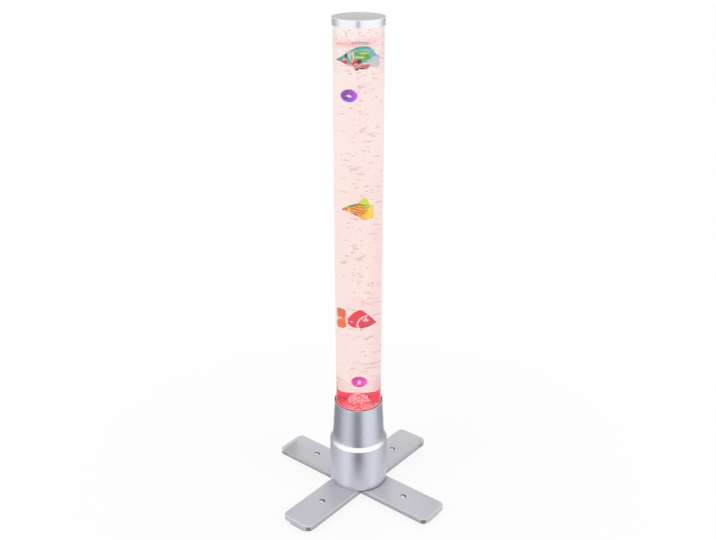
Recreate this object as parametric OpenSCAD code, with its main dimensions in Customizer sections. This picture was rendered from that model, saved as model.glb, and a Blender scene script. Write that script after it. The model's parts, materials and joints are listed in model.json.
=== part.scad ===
// Bubble tube floor lamp: a water-filled clear tube on a silver column, over a low cross of two bars.
// Millimetres, +Z up. The origin is on the floor, under the tube's axis.
// The bars lie along X and Y. The socket and the switch are on the rear side of the column.

/* [Stand] */
// Length of each bar of the cross
bar_len = 432; // [390:6:480]
// Width of each bar
bar_w = 78; // [70:1:88]
// Thickness of each bar
bar_t = 12; // [10:0.5:15]
// How far the X bar lies below the Y bar at their lap
bar_step = 1; // [0.5:0.25:2]
// Corner radius of the bar ends
bar_corner_r = 13; // [6:1:22]
// Bevel along the top edges of the bars
bar_bevel = 2; // [1:0.25:3]
// Length of each foot block under a bar end
foot_len = 96; // [60:2:100]
// Width of each foot block
foot_w = 48; // [36:1:60]
// Height of the foot blocks under the Y bar
foot_h = 7.5; // [6:0.5:12]
// Gap from the bar's end to its foot block
foot_inset = 3; // [1:0.5:8]
// Thickness of the rubber pads
pad_t = 2; // [1:0.25:4]
// Border of foot block left around each pad
pad_border = 4; // [2:0.5:8]
// Distance from the tube's axis to each bar screw
bar_screw_r = 129; // [122:1:150]
// Thread of the bar screws
bar_screw_d = 8; // [6:0.5:8]
// Head of the bar screws
bar_screw_head_d = 15; // [13:0.5:16]
// Half spacing of the four screws that hold the column on the cross
column_screw_pitch = 26; // [20:1:30]
// Thread of the column screws
column_screw_d = 6; // [5:0.5:6]
// Head of the column screws
column_screw_head_d = 11; // [10:0.5:12]

/* [Column] */
// Radius of the base housing
housing_r = 64.5; // [62:0.5:68]
// Height of the base housing up to the shoulder
housing_h = 103.5; // [100:0.5:120]
// Wall of the base housing
housing_wall = 2.5; // [2:0.25:3]
// Thickness of the base plate
base_plate_t = 5; // [4:0.5:8]
// Height of the shoulder ring's sloping face
shoulder_h = 9; // [6:0.5:12]
// Rounding of the shoulder's edges
shoulder_round = 2.5; // [1:0.25:3]
// Outer radius of the sleeve where it meets the shoulder
sleeve_base_r = 58.7; // [57.5:0.1:60]
// Outer radius of the sleeve at its rim
sleeve_rim_r = 54; // [53.5:0.1:55]
// Height of the sleeve
sleeve_h = 92; // [84:1:100]
// Wall of the sleeve
sleeve_wall = 2.4; // [1.5:0.1:2.4]
// Wall of the collar inside the sleeve that carries the tube
collar_wall = 2.5; // [2:0.25:3.5]
// Thickness of the plate that the tube stands on
carrier_t = 5; // [4:0.5:8]
// Hole in the carrier plate for the hose and the leads
carrier_hole_r = 24; // [22:0.5:28]

/* [Tube] */
// Height of the whole lamp
lamp_h = 1060; // [900:10:1300]
// Outer diameter of the tube
tube_d = 100; // [98:0.5:100.5]
// Wall of the tube
tube_wall = 3; // [2:0.25:4]
// Depth of tube hidden in the sleeve
tube_in_sleeve = 51; // [48:1:56]
// Thickness of the clear floor in the tube
floor_t = 8; // [6:0.5:10]
// How far the clear floor lies below the sleeve's rim
floor_drop = 2; // [0.5:0.5:6]
// Thickness of the rubber ring between the sleeve and the tube
rim_gasket_h = 6; // [4:0.5:10]
// Air space between the water and the top of the lamp
air_space = 44; // [36:1:80]
// Radius of the air nozzle's mushroom head
nozzle_head_r = 9; // [8:0.5:12]

/* [Cap] */
// Diameter of the cap
cap_d = 105; // [104.5:0.5:112]
// Height of the cap
cap_h = 14.2; // [12:0.2:24]
// Thickness of the cap's top
cap_top_t = 3; // [2:0.25:4]
// Wall of the ring that plugs the tube's mouth
cap_plug_wall = 2; // [1.5:0.25:3]
// Depth of the ring that plugs the tube's mouth
cap_plug_h = 9; // [6:0.5:10]
// Rounding of the cap's top edge
cap_round = 1.2; // [0.5:0.1:2]
// Thickness of the rubber ring under the cap
cap_gasket_t = 1; // [0.5:0.1:2]

/* [Floaters] */
// Direction in which the floaters lie side by side, in degrees from +X
show_az = 39; // [0:1:90]
// Diameter of the two balls
ball_d = 25; // [18:0.5:26]
// Depth of the violet ball's centre below the water line
violet_depth = 104; // [98:1:112]
// Sideways place of the violet ball
violet_side = -14; // [-18:1:18]
// Height of the magenta ball's centre above the tube's clear floor
magenta_up = 54; // [46:1:62]
// Sideways place of the magenta ball
magenta_side = 1; // [-18:1:18]
// Length of the teal fish
teal_len = 61; // [50:1:66]
// Height of the teal fish over its fins
teal_tall = 42; // [40:1:44]
// Length of the teal fish's body without its tail
teal_body_l = 54; // [48:1:56]
// Height of the teal fish's body without its fins
teal_body_h = 38; // [32:1:39]
// Height of the teal fish's tail
teal_tail_h = 20; // [14:1:30]
// Depth of the teal fish's centre below the water line
teal_depth = 31; // [30:1:36]
// Length of the yellow fish
yellow_len = 50; // [44:1:60]
// Height of the yellow fish over its fins
yellow_tall = 44; // [36:1:46]
// Length of the yellow fish's body without its tail
yellow_body_l = 41; // [34:1:44]
// Height of the yellow fish's body without its fins
yellow_body_h = 30; // [24:1:34]
// Height of the yellow fish's tail
yellow_tail_h = 32; // [20:1:36]
// Height of the yellow fish's centre above the clear floor
yellow_up = 456; // [446:1:466]
// Length of the red fish
red_len = 63; // [50:1:66]
// Height of the red fish over its fins
red_tall = 44; // [36:1:46]
// Length of the red fish's body without its tail
red_body_l = 46; // [38:1:52]
// Height of the red fish's body without its fins
red_body_h = 34; // [28:1:36]
// Height of the red fish's tail
red_tail_h = 42; // [24:1:44]
// Height of the red fish's centre above the clear floor
red_up = 208; // [200:1:216]
// Sideways place of the red fish
red_side = -4; // [-8:1:8]
// Thickness of the fishes' bodies
fish_thick = 20; // [14:0.5:24]
// Thickness of the fishes' fins
fin_t = 2.4; // [1.6:0.2:3]

/* [Rear panel] */
// Direction of the rear panel, in degrees from +X
rear_az = 135; // [130:1:140]
// Width of the recess in the housing
pocket_w = 52; // [48:0.5:56]
// Height of the recess
pocket_h = 28; // [27:0.5:32]
// Wall of the recess
pocket_wall = 2; // [1.5:0.25:2.5]
// Height of the recess's middle above the base plate
pocket_up = 35.5; // [32:0.5:44]
// Distance of the socket and the switch from the middle of the recess
fitting_side = 12; // [11:0.5:13]
// Radius of the socket's plug hole
socket_bore_r = 2.8; // [2.6:0.1:3]
// Depth of the socket's plug hole
socket_bore_depth = 9.5; // [8:0.5:11]
// Radius of the socket's barrel
socket_r = 4; // [4:0.25:5]
// Width of the switch's bezel
bezel_w = 15; // [14:0.5:16]
// Height of the switch's bezel
bezel_h = 21; // [20:0.5:22]
// Tilt of the rocker to each side, in degrees
rocker_tilt = 8; // [5:1:9]

/* [Pump] */
// Length of the air pump
pump_l = 62; // [60:1:68]
// Width of the air pump
pump_w = 40; // [38:1:42]
// Height of the pump's case below its lid
pump_case_h = 26; // [25:0.5:30]
// Height of the pump's lid
pump_lid_h = 5; // [4:0.5:7]
// Wall of the pump's case
pump_wall = 2; // [1.5:0.25:2.5]
// Height of the pump's rubber feet
pump_foot_h = 4; // [3:0.5:6]
// Outer diameter of the air hose
hose_d = 7; // [6:0.5:8]
// Bore of the air hose
hose_bore = 4; // [3:0.25:4.5]
// Bend radius of the air hose
hose_bend = 9; // [9:0.5:10]

/* [Boards] */
// Length of the control board
board_l = 84; // [80:1:86]
// Width of the control board
board_w = 60; // [58:1:62]
// Thickness of the boards
board_t = 1.6; // [1:0.1:2]
// Height of the control board above the base plate
board_up = 58; // [56:0.5:62]
// Radius of the light board
led_board_r = 43; // [41:0.5:43.5]
// Number of lights in the outer ring
led_count = 18; // [12:1:20]
// Gap from the lights' board to the clear floor
led_gap = 10; // [9:0.5:12]
// Diameter of the leads
lead_d = 4; // [3:0.25:5]

/* [Fits] */
// Gap all round between fixed pieces that fit together
snug = 0.05; // [0.04:0.01:0.1]
// Gap between pieces that move past each other
slip = 0.3; // [0.3:0.05:0.5]
// Radial gap of a pivot pin in its hole
pivot_gap = 0.06; // [0.05:0.01:0.09]

/* [Hidden] */
$fn = 96;

// How far a cutting tool runs past the face that it cuts
over = 1;

// Stand, from the floor up
bar_y_z = pad_t + foot_h;
bar_x_z = bar_y_z - bar_step;
stand_top = bar_y_z + bar_t;
lap_z = (bar_x_z + stand_top) / 2;
foot_mid = bar_len / 2 - foot_inset - foot_len / 2;
foot_corner_r = 6;
// Metal or rubber left below a screw's tip
screw_tip_skin = 1.5;

// Column, from the stand up
plate_top = stand_top + base_plate_t;
housing_in = housing_r - housing_wall;
housing_top = stand_top + housing_h;
sleeve_z = housing_top + shoulder_h;
rim_z = sleeve_z + sleeve_h;
tube_r = tube_d / 2;
bore_r = tube_r - tube_wall;
tube_z = rim_z - tube_in_sleeve;
carrier_z = tube_z - carrier_t;
floor_top = rim_z - floor_drop;
floor_z = floor_top - floor_t;
spigot_h = 8;
sleeve_slope = (sleeve_base_r - sleeve_rim_r) / sleeve_h;
// The carrier and its collar stay inside the sleeve, from its foot up to the carrier's top
sleeve_at_carrier_r = sleeve_rim_r + tube_in_sleeve * sleeve_slope;
carrier_r = min(sleeve_base_r, sleeve_at_carrier_r) - sleeve_wall - 2 * snug;

// Tube and cap
tube_top = lamp_h - cap_top_t - cap_gasket_t;
water_top = lamp_h - air_space;
water_depth = water_top - floor_top;
violet_up = water_depth - violet_depth;
teal_up = water_depth - teal_depth;

// Plate screws and their bosses
plate_screw_d = 4;
plate_screw_head_d = 7;
boss_r = 5;
plate_screw_r = housing_in - boss_r;
boss_h = 14;
carrier_screw_r = 39;
carrier_screw_count = 3;
carrier_boss_r = 6;
carrier_boss_h = 20;

// Rear panel: the local frame of the inside has +Y towards the rear
pocket_z = plate_top + pocket_up;
// The recess's floor lies a little behind the corners that its sides cut in the housing
pocket_inset = 0.3;
pocket_face = sqrt(pow(housing_r, 2) - pow(pocket_w / 2, 2)) - pocket_inset;
pocket_back = pocket_face - pocket_wall;
flange_t = 2;
socket_flange_r = socket_r + 2.5;
socket_tail = 14;
socket_tail_y = pocket_back - socket_tail;
switch_depth = 13;
switch_back = pocket_back - switch_depth;
switch_lip = 1;
bezel_border = 2.4;
rocker_pin_r = 1.2;
rocker_y = pocket_face - rocker_pin_r - slip;
rocker_w = bezel_w - 2 * bezel_border;
rocker_half = bezel_h / 2 - bezel_border - slip;

// Pump
pump_z = plate_top + pump_foot_h;
pump_lid_z = pump_z + pump_case_h;
pump_top = pump_lid_z + pump_lid_h;
pump_corner_r = 4;
arm_pivot_x = -2.8;
arm_pivot_drop = 3.5;
arm_pivot_z = pump_lid_z - arm_pivot_drop;
arm_t = 2.4;
arm_w = 12;
arm_pin_r = 1.5;
arm_foot_gap = 4;
arm_low = pump_z + arm_foot_gap;
ear_t = 2;
ear_gap = 1;
core_l = 18;
core_w = 20;
core_h = 20;
core_end_gap = 3;
core_x = -pump_l / 2 + pump_wall + core_end_gap;
coil_z = pump_z + pump_wall + core_h / 2 + 0.5;
magnet_t = 3.4;
stud_drop = 12;
stud_z = pump_lid_z - stud_drop;
diaphragm_r = 8;
diaphragm_x = 1.5;
diaphragm_t = 3.5;
diaphragm_rim_t = 1.5;
barb_up = 15.5;
barb_z = pump_z + barb_up;
barb_l = 9;
barb_x = pump_l / 2 + barb_l;
barb_r = hose_bore / 2 - snug;
block_x = diaphragm_x + diaphragm_t;
block_end_gap = 3;
block_end = pump_l / 2 - pump_wall - block_end_gap;

// Hose: out of the pump, up past the control board, back to the axis and up to the nozzle
hose_r = hose_d / 2;
hose_out_x = barb_x;
hose_up_x = hose_out_x + hose_bend;
hose_over_board = 19;
hose_over_z = plate_top + board_up + board_t + hose_over_board;
hose_stub = 10;
valve_z = hose_over_z + hose_bend + hose_stub;
valve_h = 22;
valve_body_r = 8;
valve_barb = 7;

// Boards and lights
board_z = plate_top + board_up;
post_r = 2.5;
post_border = 4;
post_x = board_l / 2 - post_border;
post_y = board_w / 2 - post_border;
led_z = floor_z - led_gap - board_t;
led_size = 5;
led_h = 1.6;
led_ring_r = 35;
led_inner_r = 19;
led_inner_count = 8;
led_post_r = 3;
led_post_ring = 33;
seal_t = 1;
nozzle_stem_r = 4;
nozzle_flange_h = 2;
nozzle_dome_h = 5;
nozzle_hole_r = nozzle_head_r + 1;
nut_h = 5;
nut_r = 7.5;
nut_overhang = 2;
nozzle_stem_low = floor_z - nut_h - nut_overhang;
connector_h = 5;
connector_w = 8;
power_lead_y = pump_w / 2 + connector_w / 2;
led_lead_x = -16;
pump_lead_x = -20;

// Shared shapes ------------------------------------------------------------------------------

// A slab with rounded corners and bevelled top edges, standing on z = 0
module slab(len, wid, thick, corner, bevel) {
    for (turn = [0, 90]) {
        along = turn == 0 ? len : wid;
        across = turn == 0 ? wid : len;
        rotate([0, 0, turn])
            translate([-along / 2 + corner, 0, 0])
                rotate([90, 0, 90])
                    linear_extrude(along - 2 * corner)
                        polygon([
                            [-across / 2, 0],
                            [across / 2, 0],
                            [across / 2, thick - bevel],
                            [across / 2 - bevel, thick],
                            [-across / 2 + bevel, thick],
                            [-across / 2, thick - bevel]
                        ]);
    }
    for (x = [-1, 1], y = [-1, 1])
        translate([x * (len / 2 - corner), y * (wid / 2 - corner), 0]) {
            cylinder(r = corner, h = thick - bevel);
            translate([0, 0, thick - bevel])
                cylinder(r1 = corner, r2 = corner - bevel, h = bevel);
        }
}

// A block with rounded upright edges, standing on z = 0
module rounded_block(len, wid, thick, corner) {
    translate([-len / 2 + corner, -wid / 2, 0]) cube([len - 2 * corner, wid, thick]);
    translate([-len / 2, -wid / 2 + corner, 0]) cube([len, wid - 2 * corner, thick]);
    for (x = [-1, 1], y = [-1, 1])
        translate([x * (len / 2 - corner), y * (wid / 2 - corner), 0])
            cylinder(r = corner, h = thick);
}

// A countersunk screw with its face at z = 0, pointing down; gap makes the hole for it
module countersunk(thread_d, head_d, len, gap = 0) {
    head_h = (head_d - thread_d) / 2;
    translate([0, 0, -len - gap]) cylinder(r = thread_d / 2 + gap, h = len + gap);
    translate([0, 0, -head_h - gap])
        cylinder(r1 = thread_d / 2 + gap, r2 = head_d / 2 + gap, h = head_h);
    if (gap > 0) translate([0, 0, -gap]) cylinder(r = head_d / 2 + gap, h = over);
}

// The same screw with the hexagonal socket in its head
module screw(thread_d, head_d, len) {
    socket_d = thread_d * 0.7;
    socket_depth = thread_d * 0.3;
    difference() {
        countersunk(thread_d, head_d, len);
        translate([0, 0, -socket_depth]) cylinder(d = socket_d, h = socket_depth + over, $fn = 6);
    }
}

// A ring about Z
module ring(r_out, r_in, h) {
    difference() {
        cylinder(r = r_out, h = h);
        translate([0, 0, -over]) cylinder(r = r_in, h = h + 2 * over);
    }
}

// Points on an arc, from angle a0 to a1
function arc(x, y, r, a0, a1, steps = 6) =
    [for (i = [0:steps]) [x + r * cos(a0 + (a1 - a0) * i / steps), y + r * sin(a0 + (a1 - a0) * i / steps)]];

// Turns the local frame of the column's inside so that its +Y looks to the rear
module inside() {
    rotate([0, 0, rear_az - 90]) children();
}

// Stand --------------------------------------------------------------------------------------

module bar(z, keep_top) {
    screw_len = z + bar_t - pad_t - screw_tip_skin;
    difference() {
        translate([0, 0, z]) slab(bar_len, bar_w, bar_t, bar_corner_r, bar_bevel);
        translate([-bar_w / 2 - snug, -bar_w / 2 - over, keep_top ? z - over : lap_z])
            cube([bar_w + 2 * snug, bar_w + 2 * over, keep_top ? lap_z - z + over : bar_t]);
        for (side = [-1, 1])
            translate([side * bar_screw_r, 0, z + bar_t])
                countersunk(bar_screw_d, bar_screw_head_d, screw_len, snug);
        translate([0, 0, bar_x_z])
            mirror([0, 0, 1])
                column_screw_places()
                    countersunk(column_screw_d, column_screw_head_d, column_screw_len, snug);
    }
}

column_screw_len = plate_top - bar_x_z - screw_tip_skin;

module column_screw_places() {
    for (x = [-1, 1], y = [-1, 1])
        translate([x * column_screw_pitch, y * column_screw_pitch, 0]) children();
}

module base_bar_x() {
    color([0.78, 0.78, 0.80]) bar(bar_x_z, false);
}

module base_bar_y() {
    color([0.78, 0.78, 0.80]) rotate([0, 0, 90]) bar(bar_y_z, true);
}

// One foot block under a bar end; turn is the bar end's direction
module foot(turn, bar_z) {
    color([0.72, 0.72, 0.76])
        rotate([0, 0, turn])
            difference() {
                translate([foot_mid, 0, pad_t])
                    rounded_block(foot_len, foot_w, bar_z - pad_t, foot_corner_r);
                translate([bar_screw_r, 0, pad_t + screw_tip_skin - snug])
                    cylinder(r = bar_screw_d / 2 + snug, h = bar_z);
            }
}

module foot_right() { foot(0, bar_x_z); }
module foot_back() { foot(90, bar_y_z); }
module foot_left() { foot(180, bar_x_z); }
module foot_front() { foot(270, bar_y_z); }

module foot_pads() {
    color([0.20, 0.20, 0.21])
        for (turn = [0:90:270])
            rotate([0, 0, turn])
                translate([foot_mid, 0, 0])
                    rounded_block(
                        foot_len - 2 * pad_border, foot_w - 2 * pad_border, pad_t, foot_corner_r / 2);
}

module bar_screws() {
    color([0.80, 0.80, 0.80])
        for (turn = [0:90:270]) {
            bar_top = (turn % 180 == 0 ? bar_x_z : bar_y_z) + bar_t;
            rotate([0, 0, turn])
                translate([bar_screw_r, 0, bar_top])
                    screw(bar_screw_d, bar_screw_head_d, bar_top - pad_t - screw_tip_skin);
        }
}

module column_screws() {
    color([0.55, 0.55, 0.57])
        translate([0, 0, bar_x_z])
            mirror([0, 0, 1])
                column_screw_places()
                    screw(column_screw_d, column_screw_head_d, column_screw_len);
}

// Column -------------------------------------------------------------------------------------

module plate_screw_places() {
    for (turn = [45:90:315])
        rotate([0, 0, turn]) translate([plate_screw_r, 0, stand_top]) children();
}

module base_plate() {
    color([0.60, 0.60, 0.62])
        difference() {
            translate([0, 0, stand_top]) cylinder(r = housing_in - snug, h = base_plate_t);
            translate([0, 0, bar_x_z])
                column_screw_places()
                    cylinder(r = column_screw_d / 2 + snug, h = column_screw_len + snug);
            plate_screw_places()
                mirror([0, 0, 1])
                    countersunk(plate_screw_d, plate_screw_head_d, base_plate_t + over, snug);
        }
}

module plate_screws() {
    color([0.45, 0.45, 0.47])
        plate_screw_places()
            mirror([0, 0, 1]) screw(plate_screw_d, plate_screw_head_d, base_plate_t + boss_h / 2);
}

module base_housing() {
    color([0.76, 0.76, 0.79])
        difference() {
            union() {
                translate([0, 0, stand_top]) ring(housing_r, housing_in, housing_h);
                intersection() {
                    translate([0, 0, plate_top]) cylinder(r = housing_in + snug, h = boss_h);
                    plate_screw_places()
                        translate([0, 0, base_plate_t]) cylinder(r = boss_r, h = boss_h);
                }
            }
            plate_screw_places()
                translate([0, 0, base_plate_t - over])
                    cylinder(r = plate_screw_d / 2 + snug, h = over + boss_h / 2 + snug);
            inside()
                translate([-pocket_w / 2 - snug, 0, pocket_z - pocket_h / 2 - snug])
                    cube([pocket_w + 2 * snug, housing_r + over, pocket_h + 2 * snug]);
        }
}

// The sloping face runs from the housing's edge in to the sleeve's foot, rounded at both ends
module shoulder_ring() {
    slope = atan2(shoulder_h - shoulder_round, housing_r - sleeve_base_r);
    lip = 0.2;
    lip_h = 1;
    color([0.86, 0.86, 0.88]) {
        rotate_extrude()
            polygon(concat(
                [[carrier_r - collar_wall, housing_top - spigot_h]],
                [[housing_in - snug, housing_top - spigot_h]],
                [[housing_in - snug, housing_top]],
                arc(housing_r - shoulder_round, housing_top, shoulder_round, 0, 90 - slope, 4),
                [[sleeve_base_r + lip, sleeve_z - lip_h]],
                [[sleeve_base_r, sleeve_z]],
                [[carrier_r, sleeve_z]],
                [[carrier_r, carrier_z]],
                [[carrier_r - collar_wall, carrier_z]]
            ));
        difference() {
            carrier_screw_places(carrier_z - carrier_boss_h) {
                cylinder(r = carrier_boss_r, h = carrier_boss_h);
                translate([0, -carrier_boss_r, 0])
                    cube([
                        carrier_r - collar_wall / 2 - carrier_screw_r,
                        2 * carrier_boss_r,
                        carrier_boss_h
                    ]);
            }
            carrier_screw_places(carrier_z - carrier_boss_h / 2 - snug)
                cylinder(r = plate_screw_d / 2 + snug, h = carrier_boss_h);
        }
    }
}

module carrier_screw_places(z) {
    for (i = [0:carrier_screw_count - 1])
        rotate([0, 0, 360 / carrier_screw_count * i])
            translate([carrier_screw_r, 0, z]) children();
}

module tube_sleeve() {
    inner_base = sleeve_base_r - sleeve_wall;
    inner_rim = sleeve_rim_r - sleeve_wall;
    edge = 0.8;
    color([0.74, 0.74, 0.78])
        rotate_extrude()
            polygon([
                [inner_base, sleeve_z],
                [sleeve_base_r, sleeve_z],
                [sleeve_rim_r + edge * sleeve_slope, rim_z - edge],
                [sleeve_rim_r - edge, rim_z],
                [inner_rim, rim_z]
            ]);
}

module rim_gasket() {
    color([0.12, 0.12, 0.13])
        translate([0, 0, rim_z - rim_gasket_h])
            ring(sleeve_rim_r - sleeve_wall - snug, tube_r + snug, rim_gasket_h);
}

module tube_carrier() {
    seat_h = 5;
    seat_wall = 3;
    color([0.85, 0.85, 0.86])
        difference() {
            union() {
                translate([0, 0, carrier_z]) cylinder(r = carrier_r, h = carrier_t);
                translate([0, 0, tube_z]) cylinder(r = bore_r - snug, h = seat_h);
            }
            translate([0, 0, tube_z]) cylinder(r = bore_r - seat_wall, h = seat_h + over);
            translate([0, 0, carrier_z - over]) cylinder(r = carrier_hole_r, h = carrier_t + 2 * over);
            carrier_screw_places(tube_z)
                countersunk(plate_screw_d, plate_screw_head_d, carrier_t + over, snug);
        }
}

module carrier_screws() {
    color([0.45, 0.45, 0.47])
        carrier_screw_places(tube_z)
            screw(plate_screw_d, plate_screw_head_d, carrier_t + carrier_boss_h / 2);
}

// Tube and its floor -------------------------------------------------------------------------

module water_tube() {
    color([0.90, 0.95, 1.0, 0.3])
        translate([0, 0, tube_z]) ring(tube_r, bore_r, tube_top - tube_z);
}

module tube_floor() {
    color([0.95, 0.75, 0.75, 0.5])
        translate([0, 0, floor_z]) ring(bore_r - snug, nozzle_stem_r + snug, floor_t);
}

// A mushroom head over the clear floor, with a ring of air holes fed by a bore in its stem
module air_nozzle() {
    hole_count = 6;
    hole_r = 0.6;
    hole_tilt = 70;
    barb_len = 8;
    head_z = floor_top + seal_t;
    bore_top = head_z + nozzle_flange_h + nozzle_dome_h * 0.4;
    barb_low = nozzle_stem_low - barb_len;
    color([0.92, 0.92, 0.94])
        difference() {
            union() {
                translate([0, 0, head_z]) cylinder(r = nozzle_head_r, h = nozzle_flange_h);
                translate([0, 0, head_z + nozzle_flange_h])
                    cylinder(r1 = nozzle_head_r, r2 = nozzle_head_r / 2, h = nozzle_dome_h);
                translate([0, 0, nozzle_stem_low])
                    cylinder(r = nozzle_stem_r, h = head_z - nozzle_stem_low);
                translate([0, 0, barb_low]) cylinder(r = barb_r, h = barb_len);
            }
            translate([0, 0, barb_low - over]) cylinder(r = barb_r / 2, h = bore_top - barb_low + over);
            for (i = [0:hole_count - 1])
                rotate([0, 0, 360 / hole_count * i])
                    translate([0, 0, bore_top - hole_r])
                        rotate([0, hole_tilt, 0]) cylinder(r = hole_r, h = nozzle_head_r + over);
        }
}

module nozzle_seal() {
    color([0.12, 0.12, 0.13])
        translate([0, 0, floor_top]) ring(nozzle_head_r - seal_t, nozzle_stem_r + snug, seal_t);
}

module nozzle_nut() {
    color([0.80, 0.78, 0.70])
        translate([0, 0, floor_z - nut_h])
            difference() {
                cylinder(r = nut_r, h = nut_h, $fn = 6);
                translate([0, 0, -over]) cylinder(r = nozzle_stem_r + snug, h = nut_h + 2 * over);
            }
}

// Lights and boards --------------------------------------------------------------------------

module led_board() {
    color([0.92, 0.92, 0.90])
        translate([0, 0, led_z]) ring(led_board_r, nozzle_hole_r, board_t);
}

module led_lights() {
    color([1.0, 0.93, 0.75])
        for (row = [[led_count, led_ring_r], [led_inner_count, led_inner_r]], i = [0:row[0] - 1])
            rotate([0, 0, 360 / row[0] * (i + 0.5)])
                translate([row[1] - led_size / 2, -led_size / 2, led_z + board_t])
                    cube([led_size, led_size, led_h]);
}

module led_posts() {
    color([0.75, 0.70, 0.55])
        for (turn = [60:120:300])
            rotate([0, 0, turn])
                translate([led_post_ring, 0, tube_z])
                    cylinder(r = led_post_r, h = led_z - tube_z, $fn = 6);
}

module control_board() {
    color([0.10, 0.35, 0.20])
        inside()
            translate([-board_l / 2, -board_w / 2, board_z]) cube([board_l, board_w, board_t]);
}

// Connectors above and below the board, two capacitors and a chip
module board_parts() {
    chip = [14, 10, 2];
    chip_at = [4, 6 - board_w / 2];
    can_r = 5;
    can_h = 11;
    can_pitch = 13;
    can_y = 10 - board_w / 2;
    color([0.15, 0.15, 0.16])
        inside() {
            for (at = [[-fitting_side, power_lead_y], [fitting_side, power_lead_y], [pump_lead_x, 0]])
                translate([at[0] - connector_w / 2, at[1] - connector_w / 2, board_z - connector_h])
                    cube([connector_w, connector_w, connector_h]);
            for (z = [board_z + board_t, led_z - connector_h])
                translate([led_lead_x - connector_w / 2, -connector_w / 2, z])
                    cube([connector_w, connector_w, connector_h]);
            translate([chip_at[0], chip_at[1], board_z + board_t]) cube(chip);
            for (i = [1, 2])
                translate([-i * can_pitch, can_y, board_z + board_t]) cylinder(r = can_r, h = can_h);
        }
}

module board_posts() {
    color([0.75, 0.70, 0.55])
        inside()
            for (x = [-1, 1], y = [-1, 1])
                translate([x * post_x, y * post_y, plate_top])
                    cylinder(r = post_r, h = board_z - plate_top, $fn = 6);
}

// Air pump -----------------------------------------------------------------------------------

module pump_case() {
    color([0.16, 0.17, 0.19])
        inside()
            difference() {
                translate([0, 0, pump_z]) rounded_block(pump_l, pump_w, pump_case_h, pump_corner_r);
                translate([0, 0, pump_z + pump_wall])
                    rounded_block(
                        pump_l - 2 * pump_wall,
                        pump_w - 2 * pump_wall,
                        pump_case_h,
                        pump_corner_r - pump_wall
                    );
                translate([0, 0, barb_z])
                    rotate([0, 90, 0]) cylinder(r = hose_r + slip, h = pump_l);
            }
}

module pump_lid() {
    ear_y = arm_w / 2 + ear_gap;
    ear_w = 8;
    arm_room = 1.5;
    color([0.20, 0.21, 0.24])
        inside()
            difference() {
                union() {
                    translate([0, 0, pump_lid_z]) rounded_block(pump_l, pump_w, pump_lid_h, pump_corner_r);
                    for (side = [-1, 1])
                        translate([
                            arm_pivot_x - ear_w / 2,
                            side * (ear_y + ear_t / 2) - ear_t / 2,
                            arm_pivot_z - ear_w / 2
                        ])
                            cube([ear_w, ear_t, pump_lid_z - arm_pivot_z + ear_w / 2 + over]);
                }
                translate([arm_pivot_x, 0, arm_pivot_z])
                    rotate([90, 0, 0])
                        cylinder(r = arm_pin_r + pivot_gap, h = pump_w / 2, center = true);
                // Room above the arm's top end
                translate([arm_pivot_x - ear_w / 2, -ear_y, pump_lid_z - over])
                    cube([ear_w, 2 * ear_y, over + arm_room]);
            }
}

// An E-shaped iron core whose three legs face the arm
module pump_core() {
    leg_h = core_h / 4;
    slot_l = core_l * 2 / 3;
    color([0.45, 0.45, 0.48])
        inside()
            difference() {
                translate([core_x, -core_w / 2, coil_z - core_h / 2]) cube([core_l, core_w, core_h]);
                for (side = [-1, 1])
                    translate([
                        core_x + core_l - slot_l,
                        -core_w / 2 - over,
                        coil_z + side * leg_h - leg_h / 2
                    ])
                        cube([slot_l + over, core_w + 2 * over, leg_h]);
            }
}

// The winding round the core's middle leg
module pump_coil() {
    leg_h = core_h / 4;
    slot_l = core_l * 2 / 3;
    coil_l = slot_l - 2;
    turns_t = leg_h - 2 * snug;
    color([0.72, 0.38, 0.18])
        inside()
            translate([core_x + core_l - slot_l + snug, 0, coil_z])
                difference() {
                    translate([0, -core_w / 2 - turns_t, -leg_h / 2 - turns_t - snug])
                        cube([coil_l, core_w + 2 * turns_t, leg_h + 2 * (turns_t + snug)]);
                    translate([-over, -core_w / 2 - snug, -leg_h / 2 - snug])
                        cube([coil_l + 2 * over, core_w + 2 * snug, leg_h + 2 * snug]);
                }
}

// The swinging lever: its pin turns in the lid's ears and its stud pushes the diaphragm
module pump_arm() {
    pin_l = arm_w + 2 * (ear_gap + ear_t);
    stud_r = 2;
    color([0.70, 0.70, 0.72])
        inside() {
            translate([arm_pivot_x - arm_t / 2, -arm_w / 2, arm_low])
                cube([arm_t, arm_w, arm_pivot_z + arm_pin_r - arm_low]);
            translate([arm_pivot_x, 0, arm_pivot_z])
                rotate([90, 0, 0]) cylinder(r = arm_pin_r, h = pin_l, center = true);
            translate([arm_pivot_x, 0, stud_z])
                rotate([0, 90, 0]) cylinder(r = stud_r, h = diaphragm_x - slip - arm_pivot_x);
        }
}

module arm_magnet() {
    size = 10;
    color([0.30, 0.30, 0.33])
        inside()
            translate([arm_pivot_x - arm_t / 2 - magnet_t, -size / 2, coil_z - size / 2])
                cube([magnet_t, size, size]);
}

module pump_diaphragm() {
    color([0.12, 0.12, 0.13])
        inside()
            translate([diaphragm_x, 0, stud_z])
                rotate([0, 90, 0]) {
                    cylinder(
                        r1 = diaphragm_r - diaphragm_t + diaphragm_rim_t,
                        r2 = diaphragm_r,
                        h = diaphragm_t - diaphragm_rim_t
                    );
                    translate([0, 0, diaphragm_t - diaphragm_rim_t])
                        cylinder(r = diaphragm_r + 1, h = diaphragm_rim_t);
                }
}

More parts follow.
